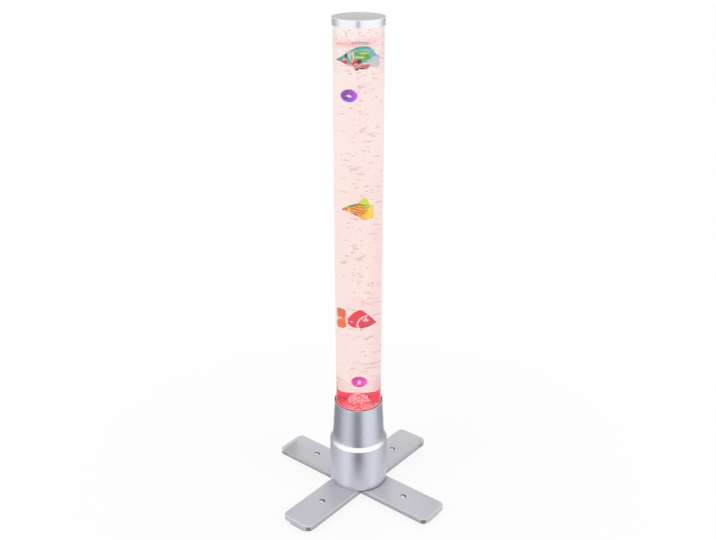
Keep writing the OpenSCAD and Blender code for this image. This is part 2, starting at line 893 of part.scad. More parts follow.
module valve_block() {
    block_w = 22;
    block_low = pump_z + pump_wall;
    lid_gap = 1;
    chamber_depth = 4;
    color([0.88, 0.88, 0.86])
        inside()
            difference() {
                union() {
                    translate([block_x, -block_w / 2, block_low])
                        cube([block_end - block_x, block_w, pump_lid_z - block_low - lid_gap]);
                    translate([block_end, 0, barb_z])
                        rotate([0, 90, 0]) cylinder(r = barb_r, h = barb_x - block_end - 1);
                }
                translate([block_x + 2, 0, barb_z])
                    rotate([0, 90, 0]) cylinder(r = barb_r / 2, h = pump_l);
                translate([block_x - over, 0, stud_z])
                    rotate([0, 90, 0]) cylinder(r = diaphragm_r - 2, h = over + chamber_depth);
            }
}

module pump_feet() {
    foot_r = 5;
    border = 8;
    color([0.12, 0.12, 0.13])
        inside()
            for (x = [-1, 1], y = [-1, 1])
                translate([x * (pump_l / 2 - border), y * (pump_w / 2 - border), plate_top])
                    cylinder(r1 = foot_r, r2 = foot_r - 1, h = pump_foot_h);
}

// Hoses --------------------------------------------------------------------------------------

// A quarter bend in the XZ plane about a centre, starting at an angle
module quarter_bend(x, z, start, r) {
    translate([x, 0, z])
        rotate([90, 0, 0])
            rotate([0, 0, start])
                rotate_extrude(angle = 90) translate([hose_bend, 0]) circle(r = r);
}

module hose_lower_run(r, ends) {
    start_x = block_end + slip;
    translate([start_x - ends, 0, barb_z])
        rotate([0, 90, 0]) cylinder(r = r, h = hose_out_x - start_x + ends);
    quarter_bend(hose_out_x, barb_z + hose_bend, 270, r);
    translate([hose_up_x, 0, barb_z + hose_bend])
        cylinder(r = r, h = hose_over_z - 2 * hose_bend - barb_z);
    quarter_bend(hose_out_x, hose_over_z - hose_bend, 0, r);
    translate([hose_bend, 0, hose_over_z])
        rotate([0, 90, 0]) cylinder(r = r, h = hose_out_x - hose_bend);
    quarter_bend(hose_bend, hose_over_z + hose_bend, 180, r);
    translate([0, 0, hose_over_z + hose_bend])
        cylinder(r = r, h = valve_z - hose_over_z - hose_bend + ends);
}

module hose_lower() {
    color([0.85, 0.90, 0.90, 0.6])
        inside()
            difference() {
                hose_lower_run(hose_r, 0);
                hose_lower_run(hose_bore / 2, over);
            }
}

// A one-way valve that keeps the water out of the pump
module check_valve() {
    color([0.20, 0.45, 0.75])
        difference() {
            union() {
                translate([0, 0, valve_z]) cylinder(r = valve_body_r, h = valve_h / 2);
                translate([0, 0, valve_z + valve_h / 2])
                    cylinder(r1 = valve_body_r, r2 = hose_r, h = valve_h / 2);
                translate([0, 0, valve_z - valve_barb])
                    cylinder(r = barb_r, h = valve_h + 2 * valve_barb);
            }
            translate([0, 0, valve_z - valve_barb - over])
                cylinder(r = barb_r / 2, h = valve_h + 2 * (valve_barb + over));
        }
}

module hose_upper() {
    hose_low = valve_z + valve_h;
    color([0.85, 0.90, 0.90, 0.6])
        translate([0, 0, hose_low])
            ring(hose_r, hose_bore / 2, nozzle_stem_low - hose_low);
}

// Rear panel ---------------------------------------------------------------------------------

module rear_pocket() {
    color([0.14, 0.14, 0.15])
        inside()
            difference() {
                intersection() {
                    translate([-pocket_w / 2, pocket_back, pocket_z - pocket_h / 2])
                        cube([pocket_w, housing_r, pocket_h]);
                    cylinder(r = housing_r, h = housing_top);
                }
                translate([
                    -pocket_w / 2 + pocket_wall,
                    pocket_face,
                    pocket_z - pocket_h / 2 + pocket_wall
                ])
                    cube([pocket_w - 2 * pocket_wall, housing_r, pocket_h - 2 * pocket_wall]);
                translate([fitting_side, 0, pocket_z])
                    rotate([-90, 0, 0]) cylinder(r = socket_r + snug, h = housing_r);
                translate([
                    -fitting_side - bezel_w / 2 + switch_lip - snug,
                    0,
                    pocket_z - bezel_h / 2 + switch_lip - snug
                ])
                    cube([
                        bezel_w - 2 * switch_lip + 2 * snug,
                        housing_r,
                        bezel_h - 2 * switch_lip + 2 * snug
                    ]);
            }
}

// The power socket, a plain bore that a barrel plug goes into
module dc_socket() {
    color([0.10, 0.10, 0.11])
        inside()
            translate([fitting_side, 0, pocket_z])
                rotate([-90, 0, 0])
                    difference() {
                        union() {
                            translate([0, 0, pocket_face]) cylinder(r = socket_flange_r, h = flange_t);
                            translate([0, 0, socket_tail_y])
                                cylinder(r = socket_r, h = pocket_face - socket_tail_y);
                        }
                        translate([0, 0, pocket_face + flange_t - socket_bore_depth])
                            cylinder(r = socket_bore_r, h = socket_bore_depth + over);
                    }
}

module dc_nut() {
    dc_nut_h = 2.5;
    color([0.80, 0.80, 0.80])
        inside()
            translate([fitting_side, pocket_back - dc_nut_h, pocket_z])
                rotate([-90, 0, 0])
                    difference() {
                        cylinder(r = socket_flange_r, h = dc_nut_h, $fn = 6);
                        translate([0, 0, -over])
                            cylinder(r = socket_r + snug, h = dc_nut_h + 2 * over);
                    }
}

module switch_body() {
    body_w = bezel_w - 2 * switch_lip;
    body_h = bezel_h - 2 * switch_lip;
    well_w = rocker_w + 2 * slip;
    well_h = 2 * (rocker_half + 3 * slip);
    well_depth = 6;
    pin_wall = 0.3;
    color([0.12, 0.12, 0.13])
        inside()
            translate([-fitting_side, 0, pocket_z])
                difference() {
                    union() {
                        translate([-bezel_w / 2, pocket_face, -bezel_h / 2])
                            cube([bezel_w, flange_t, bezel_h]);
                        translate([-body_w / 2, switch_back, -body_h / 2])
                            cube([body_w, pocket_face - switch_back, body_h]);
                    }
                    translate([-well_w / 2, rocker_y - well_depth, -well_h / 2])
                        cube([well_w, housing_r, well_h]);
                    translate([0, rocker_y, 0])
                        rotate([0, 90, 0])
                            cylinder(r = rocker_pin_r + pivot_gap, h = body_w - 2 * pin_wall, center = true);
                }
}

// The rocker, pressed in at its upper end, turns on a pin across the switch
module switch_rocker() {
    back = -3;
    proud = 4.6;
    dip = 3;
    pin_l = bezel_w - 2 * switch_lip - 1;
    edge = 1;
    color([0.70, 0.10, 0.10])
        inside()
            translate([-fitting_side, rocker_y, pocket_z])
                rotate([rocker_tilt, 0, 0]) {
                    translate([-rocker_w / 2, 0, 0])
                        rotate([90, 0, 90])
                            linear_extrude(rocker_w)
                                polygon([
                                    [back, edge - rocker_half],
                                    [0, -rocker_half],
                                    [proud, -rocker_half],
                                    [dip, 0],
                                    [proud, rocker_half],
                                    [0, rocker_half],
                                    [back, rocker_half - edge]
                                ]);
                    rotate([0, 90, 0]) cylinder(r = rocker_pin_r, h = pin_l, center = true);
                }
}

// Leads --------------------------------------------------------------------------------------

// A lead from a fitting on the rear panel, straight in and then up to the control board
module rear_lead(x, from_y) {
    bend = 5;
    r = lead_d / 2;
    inside()
        translate([x, 0, pocket_z]) {
            translate([0, power_lead_y + bend, 0])
                rotate([-90, 0, 0]) cylinder(r = r, h = from_y - power_lead_y - bend);
            translate([0, power_lead_y + bend, bend])
                rotate([90, 0, 90])
                    rotate([0, 0, 180])
                        rotate_extrude(angle = 90) translate([bend, 0]) circle(r = r);
            translate([0, power_lead_y, bend])
                cylinder(r = r, h = board_z - connector_h - pocket_z - bend);
        }
}

module power_lead() {
    color([0.10, 0.10, 0.11]) rear_lead(fitting_side, socket_tail_y);
}

module switch_lead() {
    color([0.55, 0.12, 0.12]) rear_lead(-fitting_side, switch_back);
}

module pump_lead() {
    color([0.12, 0.12, 0.30])
        inside()
            translate([pump_lead_x, 0, pump_top])
                cylinder(r = lead_d / 2, h = board_z - connector_h - pump_top);
}

module led_lead() {
    low = board_z + board_t + connector_h;
    color([0.85, 0.85, 0.88])
        inside()
            translate([led_lead_x, 0, low])
                cylinder(r = lead_d / 2, h = led_z - connector_h - low);
}

// Cap ----------------------------------------------------------------------------------------

module cap() {
    cap_r = cap_d / 2;
    skirt_in = tube_r + slip;
    under = lamp_h - cap_top_t;
    color([0.90, 0.90, 0.91])
        rotate_extrude()
            polygon(concat(
                [[0, lamp_h]],
                [[0, under]],
                [[bore_r - slip - cap_plug_wall, under]],
                [[bore_r - slip - cap_plug_wall, under - cap_plug_h]],
                [[bore_r - slip, under - cap_plug_h]],
                [[bore_r - slip, under]],
                [[skirt_in, under]],
                [[skirt_in, lamp_h - cap_h]],
                [[cap_r, lamp_h - cap_h]],
                arc(cap_r - cap_round, lamp_h - cap_round, cap_round, 0, 90, 4)
            ));
}

module cap_gasket() {
    color([0.12, 0.12, 0.13])
        translate([0, 0, tube_top]) ring(tube_r, bore_r - slip + snug, cap_gasket_t);
}

// Water and floaters -------------------------------------------------------------------------

// Puts a floater side by side with the show direction at a height above the clear floor
module afloat(side, up) {
    rotate([0, 0, show_az]) translate([side, 0, floor_top + up]) children();
}

// A small fish's body looks towards -X: its nose, its deepest place and its tail's root
function fish_nose(len) = -len / 2;
function fish_mid(len, body_l) = fish_nose(len) + body_l * 0.55;
fish_nose_r = 3;
fish_root_r = 4;

// The fins, seen from the side
module fish_fins(len, tall, body_l, tail_h) {
    root = fish_nose(len) + body_l;
    mid = fish_mid(len, body_l);
    // Tail
    polygon([
        [root - 2, 0],
        [len / 2 - 3, tail_h / 2],
        [len / 2, tail_h * 0.44],
        [len / 2 - 3, 0],
        [len / 2, -tail_h * 0.44],
        [len / 2 - 3, -tail_h / 2]
    ]);
    // Back fin
    polygon([
        [mid - body_l * 0.22, 0],
        [mid - body_l * 0.10, tall * 0.44],
        [mid + body_l * 0.18, tall * 0.5],
        [mid + body_l * 0.34, 0]
    ]);
    // Belly fin
    polygon([
        [mid - body_l * 0.10, 0],
        [mid + body_l * 0.08, -tall * 0.5],
        [mid + body_l * 0.26, -tall * 0.42],
        [mid + body_l * 0.30, 0]
    ]);
}

module fish(len, tall, body_l, body_h, tail_h) {
    hull() {
        translate([fish_nose(len) + fish_nose_r, 0, 0]) sphere(r = fish_nose_r, $fn = 20);
        translate([fish_mid(len, body_l), 0, 0])
            scale([1.1, fish_thick / body_h, 1]) sphere(d = body_h, $fn = 32);
        translate([fish_nose(len) + body_l, 0, 0])
            scale([1, 0.5, 1]) sphere(r = fish_root_r, $fn = 20);
    }
    rotate([90, 0, 0])
        translate([0, 0, -fin_t / 2]) linear_extrude(fin_t) fish_fins(len, tall, body_l, tail_h);
}

// The hollow that a fish of this size takes up in the water
module fish_space(len, tall, body_l, body_h, tail_h) {
    rotate([90, 0, 0])
        translate([0, 0, -fish_thick / 2 - slip])
            linear_extrude(fish_thick + 2 * slip)
                offset(delta = slip)
                    hull() {
                        fish_fins(len, tall, body_l, tail_h);
                        translate([fish_nose(len) + fish_nose_r, 0]) circle(r = fish_nose_r, $fn = 20);
                        translate([fish_mid(len, body_l), 0])
                            scale([1.1, 1]) circle(d = body_h, $fn = 32);
                    }
}

module water() {
    nozzle_room = seal_t + nozzle_flange_h + nozzle_dome_h + slip;
    color([1.0, 0.80, 0.78, 0.35])
        difference() {
            translate([0, 0, floor_top]) cylinder(r = bore_r - snug, h = water_depth);
            translate([0, 0, floor_top - over]) cylinder(r = nozzle_head_r + slip, h = nozzle_room + over);
            afloat(violet_side, violet_up) sphere(d = ball_d + 2 * slip);
            afloat(magenta_side, magenta_up) sphere(d = ball_d + 2 * slip);
            afloat(0, teal_up)
                fish_space(teal_len, teal_tall, teal_body_l, teal_body_h, teal_tail_h);
            afloat(0, yellow_up)
                fish_space(yellow_len, yellow_tall, yellow_body_l, yellow_body_h, yellow_tail_h);
            afloat(red_side, red_up) mirror([1, 0, 0])
                fish_space(red_len, red_tall, red_body_l, red_body_h, red_tail_h);
        }
}

module fish_teal() {
    color([0.20, 0.68, 0.60])
        afloat(0, teal_up) fish(teal_len, teal_tall, teal_body_l, teal_body_h, teal_tail_h);
}

module fish_yellow() {
    color([0.92, 0.78, 0.20])
        afloat(0, yellow_up) fish(yellow_len, yellow_tall, yellow_body_l, yellow_body_h, yellow_tail_h);
}

module fish_red() {
    color([0.85, 0.22, 0.30])
        afloat(red_side, red_up) mirror([1, 0, 0])
            fish(red_len, red_tall, red_body_l, red_body_h, red_tail_h);
}

module ball_violet() {
    color([0.55, 0.30, 0.75]) afloat(violet_side, violet_up) sphere(d = ball_d);
}

module ball_magenta() {
    color([0.80, 0.20, 0.65]) afloat(magenta_side, magenta_up) sphere(d = ball_d);
}

// Nodes --------------------------------------------------------------------------------------

base_bar_x();
base_bar_y();
foot_right();
foot_back();
foot_left();
foot_front();
foot_pads();
bar_screws();
column_screws();
base_plate();
plate_screws();
base_housing();
shoulder_ring();
tube_sleeve();
rim_gasket();
tube_carrier();
carrier_screws();
water_tube();
tube_floor();
air_nozzle();
nozzle_seal();
nozzle_nut();
led_board();
led_lights();
led_posts();
control_board();
board_parts();
board_posts();
pump_case();
pump_lid();
pump_core();
pump_coil();
pump_arm();
arm_magnet();
pump_diaphragm();
valve_block();
pump_feet();
hose_lower();
check_valve();
hose_upper();
rear_pocket();
dc_socket();
dc_nut();
switch_body();
switch_rocker();
power_lead();
switch_lead();
pump_lead();
led_lead();
cap();
cap_gasket();
water();
fish_teal();
fish_yellow();
fish_red();
ball_violet();
ball_magenta();
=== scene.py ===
import json
import math
import random

import bpy
from mathutils import Matrix, Vector


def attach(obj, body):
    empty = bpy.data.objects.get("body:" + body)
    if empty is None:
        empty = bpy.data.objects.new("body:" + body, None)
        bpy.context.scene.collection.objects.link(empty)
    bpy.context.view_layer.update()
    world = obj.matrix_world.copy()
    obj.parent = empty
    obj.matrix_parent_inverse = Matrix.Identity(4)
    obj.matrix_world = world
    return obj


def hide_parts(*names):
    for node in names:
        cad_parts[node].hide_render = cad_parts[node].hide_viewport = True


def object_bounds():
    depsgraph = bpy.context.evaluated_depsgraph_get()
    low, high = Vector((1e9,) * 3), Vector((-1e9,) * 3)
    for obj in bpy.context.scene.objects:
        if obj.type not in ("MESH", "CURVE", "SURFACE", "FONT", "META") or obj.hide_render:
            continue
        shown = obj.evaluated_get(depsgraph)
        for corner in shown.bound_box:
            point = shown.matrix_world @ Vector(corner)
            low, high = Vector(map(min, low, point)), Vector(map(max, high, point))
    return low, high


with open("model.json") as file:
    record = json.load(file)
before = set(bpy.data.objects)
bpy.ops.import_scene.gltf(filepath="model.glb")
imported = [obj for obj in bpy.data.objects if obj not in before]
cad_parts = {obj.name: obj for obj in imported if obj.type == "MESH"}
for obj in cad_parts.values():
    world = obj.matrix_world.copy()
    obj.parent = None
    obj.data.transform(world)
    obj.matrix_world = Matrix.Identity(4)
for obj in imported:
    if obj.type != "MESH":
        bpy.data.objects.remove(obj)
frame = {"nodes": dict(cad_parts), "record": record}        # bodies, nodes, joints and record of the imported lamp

nodes = frame["nodes"]
cadLow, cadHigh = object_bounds()
slotOf = {s["node"]: s["material_slot"] for s in frame["record"]["subparts"]}
bodyOf = {n: b for b, members in frame["record"]["behaviour"]["bodies"].items() for n in members}
scene = bpy.context.scene
print("frame loaded:", len(nodes), "nodes")


def leaveEdit():
    bpy.ops.object.mode_set(mode="OBJECT")


def deselectAll():
    if bpy.context.object and bpy.context.object.mode != "OBJECT":
        leaveEdit()
    bpy.ops.object.select_all(action="DESELECT")


def activate(*pieces):
    deselectAll()
    for piece in pieces:
        piece.select_set(True)
    bpy.context.view_layer.objects.active = pieces[0]


def takeNew(name):
    piece = bpy.context.object
    piece.name = name
    piece.data.name = name
    return piece


def editAll(piece):                 # edit mode, with the whole mesh selected
    activate(piece)
    bpy.ops.object.mode_set(mode="EDIT")
    bpy.ops.mesh.select_all(action="SELECT")


def editSome(piece, kind, test):    # edit mode, with only the corners or faces selected that pass the test
    activate(piece)
    bpy.ops.object.mode_set(mode="EDIT")
    bpy.ops.mesh.select_mode(type=kind)
    bpy.ops.mesh.select_all(action="DESELECT")
    leaveEdit()
    for element in piece.data.vertices if kind == "VERT" else piece.data.polygons:
        element.select = bool(test(element))
    bpy.ops.object.mode_set(mode="EDIT")


def outwards(piece):
    editAll(piece)
    bpy.ops.mesh.remove_doubles(threshold=0.000004)
    bpy.ops.mesh.normals_make_consistent(inside=False)
    leaveEdit()


def applyPlace(piece):
    activate(piece)
    bpy.ops.object.transform_apply(location=True, rotation=True, scale=True)


def applyModifier(piece, kind, **values):
    activate(piece)
    modifier = piece.modifiers.new(kind.lower(), kind)
    for key, value in values.items():
        setattr(modifier, key, value)
    bpy.ops.object.modifier_apply(modifier=modifier.name)


def joined(name, pieces):
    activate(*pieces)
    if len(pieces) > 1:
        bpy.ops.object.join()
    return takeNew(name)


def smoothOver(piece, angle=None):
    activate(piece)
    if angle is None:
        bpy.ops.object.shade_smooth()
    else:
        bpy.ops.object.shade_smooth_by_angle(angle=math.radians(angle))


def dress(piece, *materials):       # each face keeps its own number in the list of materials
    kept = [f.material_index for f in piece.data.polygons]
    piece.data.materials.clear()
    for material in materials:
        piece.data.materials.append(material)
    for face, index in zip(piece.data.polygons, kept):
        face.material_index = min(index, len(materials) - 1)


def seat(piece, body, slot, *materials, stands=()):
    applyPlace(piece)
    if materials:
        dress(piece, *materials)
    if stands:
        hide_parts(*stands)
    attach(piece, body)


# A closed outline of (radius, height) points, in millimetres, spun into a round piece
def turned(name, outline, steps=96):
    deselectAll()
    bpy.ops.mesh.primitive_circle_add(vertices=len(outline), radius=0.01, fill_type="NOTHING")
    piece = takeNew(name)
    for v, (r, z) in zip(piece.data.vertices, outline):
        v.co = (r / 1000, 0, z / 1000)
    editAll(piece)
    bpy.ops.mesh.spin(steps=steps, angle=2 * math.pi, center=(0, 0, 0), axis=(0, 0, 1))
    leaveEdit()
    outwards(piece)
    return piece


def fill(tree, node, values):       # gives each socket a link, or a number, place or colour
    for label, value in values.items():
        socket = node.inputs[label]
        if isinstance(value, bpy.types.NodeSocket):
            tree.links.new(value, socket)
        elif socket.type == "RGBA":
            socket.default_value = (*value[:3], 1)
        else:
            socket.default_value = value


def mathNode(tree, operation, *values):
    made = tree.nodes.new("ShaderNodeMath")
    made.operation = operation
    fill(tree, made, dict(enumerate(values)))
    return made.outputs[0]


def times(tree, first, *others):
    for value in others:
        first = mathNode(tree, "MULTIPLY", first, value)
    return first


def vectorNode(tree, operation, *values):
    made = tree.nodes.new("ShaderNodeVectorMath")
    made.operation = operation
    fill(tree, made, dict(enumerate(values)))
    return made.outputs["Value"] if operation in ("LENGTH", "DOT_PRODUCT") else made.outputs[0]


def splitNode(tree, vector):
    made = tree.nodes.new("ShaderNodeSeparateXYZ")
    tree.links.new(vector, made.inputs[0])
    return made.outputs["X"], made.outputs["Y"], made.outputs["Z"]


def rangeNode(tree, value, fromMin, fromMax, toMin=0.0, toMax=1.0, smooth=True):
    made = tree.nodes.new("ShaderNodeMapRange")
    made.interpolation_type = "SMOOTHSTEP" if smooth else "LINEAR"
    fill(tree, made, {"Value": value, "From Min": fromMin, "From Max": fromMax,
                      "To Min": toMin, "To Max": toMax})
    return made.outputs["Result"]


def towards(tree, vector, way, fromMin, fromMax):       # rises from 0 to 1 along one direction
    return rangeNode(tree, vectorNode(tree, "DOT_PRODUCT", vector, way), fromMin, fromMax)


def noiseNode(tree, vector, scale, detail=3.0, distortion=0.0, output="Fac"):
    made = tree.nodes.new("ShaderNodeTexNoise")
    fill(tree, made, {"Vector": vector, "Scale": scale, "Detail": detail, "Distortion": distortion})
    return made.outputs[output]


def mixNode(tree, amount, below, above, blend="MIX"):
    made = tree.nodes.new("ShaderNodeMix")
    made.data_type = "RGBA"
    made.blend_type = blend
    made.clamp_factor = True
    fill(tree, made, {0: amount, 6: below, 7: above})
    return made.outputs[2]


def mixShaders(tree, amount, below, above):
    made = tree.nodes.new("ShaderNodeMixShader")
    fill(tree, made, {0: amount, 1: below, 2: above})
    return made.outputs[0]


def turnedAway(tree, blend):        # 0 where a surface faces the eye, 1 at its outline
    made = tree.nodes.new("ShaderNodeLayerWeight")
    made.inputs["Blend"].default_value = blend
    return made.outputs["Facing"]


def newMaterial(name):
    material = bpy.data.materials.new(name)
    material.use_nodes = True
    tree = material.node_tree
    surface = tree.nodes["Principled BSDF"]
    place = tree.nodes.new("ShaderNodeTexCoord").outputs["Object"]
    return material, tree, surface, place


def addBump(tree, surface, height, strength, distance=0.0004):
    bump = tree.nodes.new("ShaderNodeBump")
    fill(tree, bump, {"Height": height, "Strength": strength, "Distance": distance})
    tree.links.new(bump.outputs["Normal"], surface.inputs["Normal"])


def paintOver(tree, surface, mask, color, label="Base Color"):      # over what feeds the socket so far
    current = surface.inputs[label].links[0].from_socket
    tree.links.new(mixNode(tree, mask, current, color), surface.inputs[label])


cameraPlace = {"lens": 46.54, "location": (1.1220, -1.3806, 1.324), "tilt": 66.22, "turn": 39.14}

deselectAll()
bpy.ops.object.camera_add(
    location=cameraPlace["location"],
    rotation=(math.radians(cameraPlace["tilt"]), 0, math.radians(cameraPlace["turn"])))
camera = bpy.context.object
camera.name = "camera"
camera.data.lens = cameraPlace["lens"]
camera.data.sensor_width = 36
camera.data.clip_start = 0.05
camera.data.clip_end = 60
scene.camera = camera
viewAzimuth = math.degrees(math.atan2(cameraPlace["location"][1], cameraPlace["location"][0]))
showTurn = math.radians(39)
across = Vector((math.cos(showTurn), math.sin(showTurn), 0))      # to the right in the photo
nearer = Vector((math.sin(showTurn), -math.cos(showTurn), 0))     # to where the photo was taken from
print("camera placed")


studio = {
    "worldLevel": 0.66,                 # plain light from all round, for the object
    "floorSize": 14.0,
    "floorDrop": 0.0002,                # how far the paper lies under the feet
    "floorColor": (0.93, 0.93, 0.93),
    "floorRoughness": (0.52, 0.62),
    "floorGrain": 60,
    "floorWhite": (0.22, 1.1, 0.86, 1.0),       # whiter away from the lamp, so that no horizon shows
    "lampAim": (0, 0, 0.5),
    "lamps": {                          # azimuth from the camera, elevation, distance, size, power
        "leftLamp": (-55, 38, 2.6, 1.5, 17.0),
        "rightLamp": (62, 30, 2.6, 1.3, 11.0),
        "backLamp": (165, 55, 2.6, 1.6, 9.0),
    },
}


def hideFrom(thing, *rays):
    for kind in rays:
        setattr(thing, "visible_" + kind, False)


def seenWhite(tree):        # 1 for what is seen straight, mirrored or through clear parts
    path = tree.nodes.new("ShaderNodeLightPath")
    straight = mathNode(tree, "MAXIMUM", path.outputs["Is Camera Ray"], path.outputs["Is Glossy Ray"])
    return mathNode(tree, "MAXIMUM", straight, path.outputs["Is Transmission Ray"])


def skyLevel(tree, level):
    made = tree.nodes.new("ShaderNodeBackground")
    fill(tree, made, {"Color": (1, 1, 1), "Strength": level})
    return made.outputs[0]


world = bpy.data.worlds.new("studio")
scene.world = world
world.use_nodes = True
sky = world.node_tree
sky.nodes.clear()
sky.links.new(mixShaders(sky, seenWhite(sky), skyLevel(sky, studio["worldLevel"]), skyLevel(sky, 1.0)),
              sky.nodes.new("ShaderNodeOutputWorld").inputs["Surface"])

for lampName, (azimuth, elevation, distance, size, power) in studio["lamps"].items():
    a = math.radians(viewAzimuth + azimuth)
    e = math.radians(elevation)
    away = Vector((math.cos(a) * math.cos(e), math.sin(a) * math.cos(e), math.sin(e)))
    deselectAll()
    bpy.ops.object.light_add(type="AREA", location=Vector(studio["lampAim"]) + away * distance)
    lamp = bpy.context.object
    lamp.name = lampName
    lamp.rotation_mode = "QUATERNION"
    lamp.rotation_quaternion = away.to_track_quat("Z", "Y")
    lamp.data.shape = "SQUARE"
    lamp.data.size = size
    lamp.data.energy = power
    hideFrom(lamp, "glossy", "transmission", "camera")


# White paper that is seen near its own white, with the lamp's shadow kept
def paperFloor():
    material, tree, surface, place = newMaterial("paperFloor")
    grain = noiseNode(tree, place, studio["floorGrain"], 2)
    fill(tree, surface, {
        "Base Color": studio["floorColor"], "Specular IOR Level": 0.1,
        "Roughness": rangeNode(tree, grain, 0, 1, *studio["floorRoughness"], smooth=False)})
    white = rangeNode(tree, vectorNode(tree, "LENGTH", place), *studio["floorWhite"])
    glow = tree.nodes.new("ShaderNodeEmission").outputs[0]
    tree.links.new(mixShaders(tree, times(tree, seenWhite(tree), white), surface.outputs[0], glow),
                   tree.nodes["Material Output"].inputs["Surface"])
    return material


deselectAll()
bpy.ops.mesh.primitive_plane_add(size=studio["floorSize"], location=(0, 0, -studio["floorDrop"]))
studioFloor = takeNew("studioFloor")
studioFloor.data.materials.append(paperFloor())

# Rings round the lamp that only its reflections see, for the silver column's soft bands.
# A level is an azimuth from the camera and the brightness there. Where a ring has an even part, it fades
# to one brightness below: the heights where that ends and begins, its share, and the brightness.
reflectors = {
    "sleeveRing": {
        "radius": 0.205, "foot": 0.004, "top": 0.200,
        "levels": (
            (-133, 0.30), (-112, 0.32), (-84, 0.38), (-68.5, 0.58), (-57, 0.72), (-43.5, 0.78), (-33, 0.74),
            (-24, 0.60), (-16, 0.42), (-9, 0.31), (3.5, 0.31), (9, 0.42), (15, 0.66), (22, 0.82), (32, 0.93),
            (48, 0.93), (64, 0.86), (75, 0.70), (86, 0.54), (101.5, 0.42), (121, 0.38), (133, 0.38)),
    },
    "housingRing": {
        "radius": 0.075, "foot": 0.004, "top": 0.128, "even": (0.030, 0.098, 0.95, 0.76),
        "levels": (
            (-120, 0.42), (-104, 0.46), (-86, 0.51), (-64, 0.62), (-48, 0.78), (-36, 0.90), (-28, 0.92),
            (-20, 0.84), (-12, 0.56), (-4, 0.31), (3, 0.31), (11, 0.56), (20, 0.80), (30, 0.90), (40, 0.90),
            (55, 0.76), (73, 0.60), (90, 0.50), (108, 0.46), (120, 0.42)),
    },
    "capRing": {
        "radius": 0.400, "foot": 0.880, "top": 1.120,
        "levels": (
            (-140, 0.46), (-112, 0.50), (-96, 0.62), (-82, 0.90), (-68, 1.00), (-49, 0.97), (-15, 0.96),
            (-10, 0.80), (-6, 0.50), (2.5, 0.50), (6, 0.80), (11, 0.96), (49, 1.00), (77.5, 1.00), (94, 0.90),
            (107.5, 0.62), (123, 0.48), (140, 0.44)),
    },
}


def ringGlow(name, look, span, middle):
    material, tree, surface, place = newMaterial(name)
    tree.nodes.remove(surface)
    x, y, z = splitNode(tree, place)
    ramp = tree.nodes.new("ShaderNodeValToRGB")
    half = math.radians(span)
    turn = mathNode(tree, "ARCTAN2", y, x)
    tree.links.new(rangeNode(tree, turn, -half, half, smooth=False), ramp.inputs["Fac"])
    stops = ramp.color_ramp.elements
    for index, (azimuth, level) in enumerate(look["levels"]):
        share = (azimuth + span) / (2 * span)
        stop = stops[index] if index < 2 else stops.new(share)
        stop.position = share
        stop.color = (level, level, min(1.0, level * 1.05), 1)
    color = ramp.outputs["Color"]
    if "even" in look:
        low, high, most, level = look["even"]
        evened = rangeNode(tree, z, low - middle, high - middle, most, 0.0, smooth=False)
        color = mixNode(tree, evened, color, (level, level, level * 1.03), "LIGHTEN")
    glow = tree.nodes.new("ShaderNodeEmission")
    tree.links.new(color, glow.inputs["Color"])
    behind = tree.nodes.new("ShaderNodeNewGeometry").outputs["Backfacing"]
    clear = tree.nodes.new("ShaderNodeBsdfTransparent").outputs[0]
    tree.links.new(mixShaders(tree, behind, glow.outputs[0], clear),
                   tree.nodes["Material Output"].inputs["Surface"])
    return material


for ringName, look in reflectors.items():
    span = look["levels"][-1][0]                # degrees to each side of the camera
    middle = (look["top"] + look["foot"]) / 2
    deselectAll()
    bpy.ops.mesh.primitive_cylinder_add(
        vertices=144, radius=look["radius"], depth=look["top"] - look["foot"], end_fill_type="NOTHING",
        location=(0, 0, middle), rotation=(0, 0, math.radians(viewAzimuth)))
    ring = takeNew(ringName)                    # stays turned, so that its own x points to the camera
    editSome(ring, "FACE", lambda f: abs(math.degrees(math.atan2(f.center.y, f.center.x))) > span)
    bpy.ops.mesh.delete(type="FACE")
    bpy.ops.mesh.select_all(action="SELECT")
    bpy.ops.mesh.flip_normals()
    leaveEdit()
    ring.data.materials.append(ringGlow(ringName, look, span, middle))
    hideFrom(ring, "camera", "diffuse", "transmission", "shadow")
print("studio lit")


def newGroup(name, inputs, outputs):
    group = bpy.data.node_groups.new(name, "ShaderNodeTree")
    for label, kind, value in inputs:
        socket = group.interface.new_socket(name=label, in_out="INPUT", socket_type="NodeSocket" + kind)
        if value is not None:
            socket.default_value = value
    for label, kind in outputs:
        group.interface.new_socket(name=label, in_out="OUTPUT", socket_type="NodeSocket" + kind)
    return group, group.nodes.new("NodeGroupInput").outputs, group.nodes.new("NodeGroupOutput")


def useGroup(tree, group, **values):
    made = tree.nodes.new("ShaderNodeGroup")
    made.node_tree = group
    fill(tree, made, {label.replace("_", " "): value for label, value in values.items()})
    return made


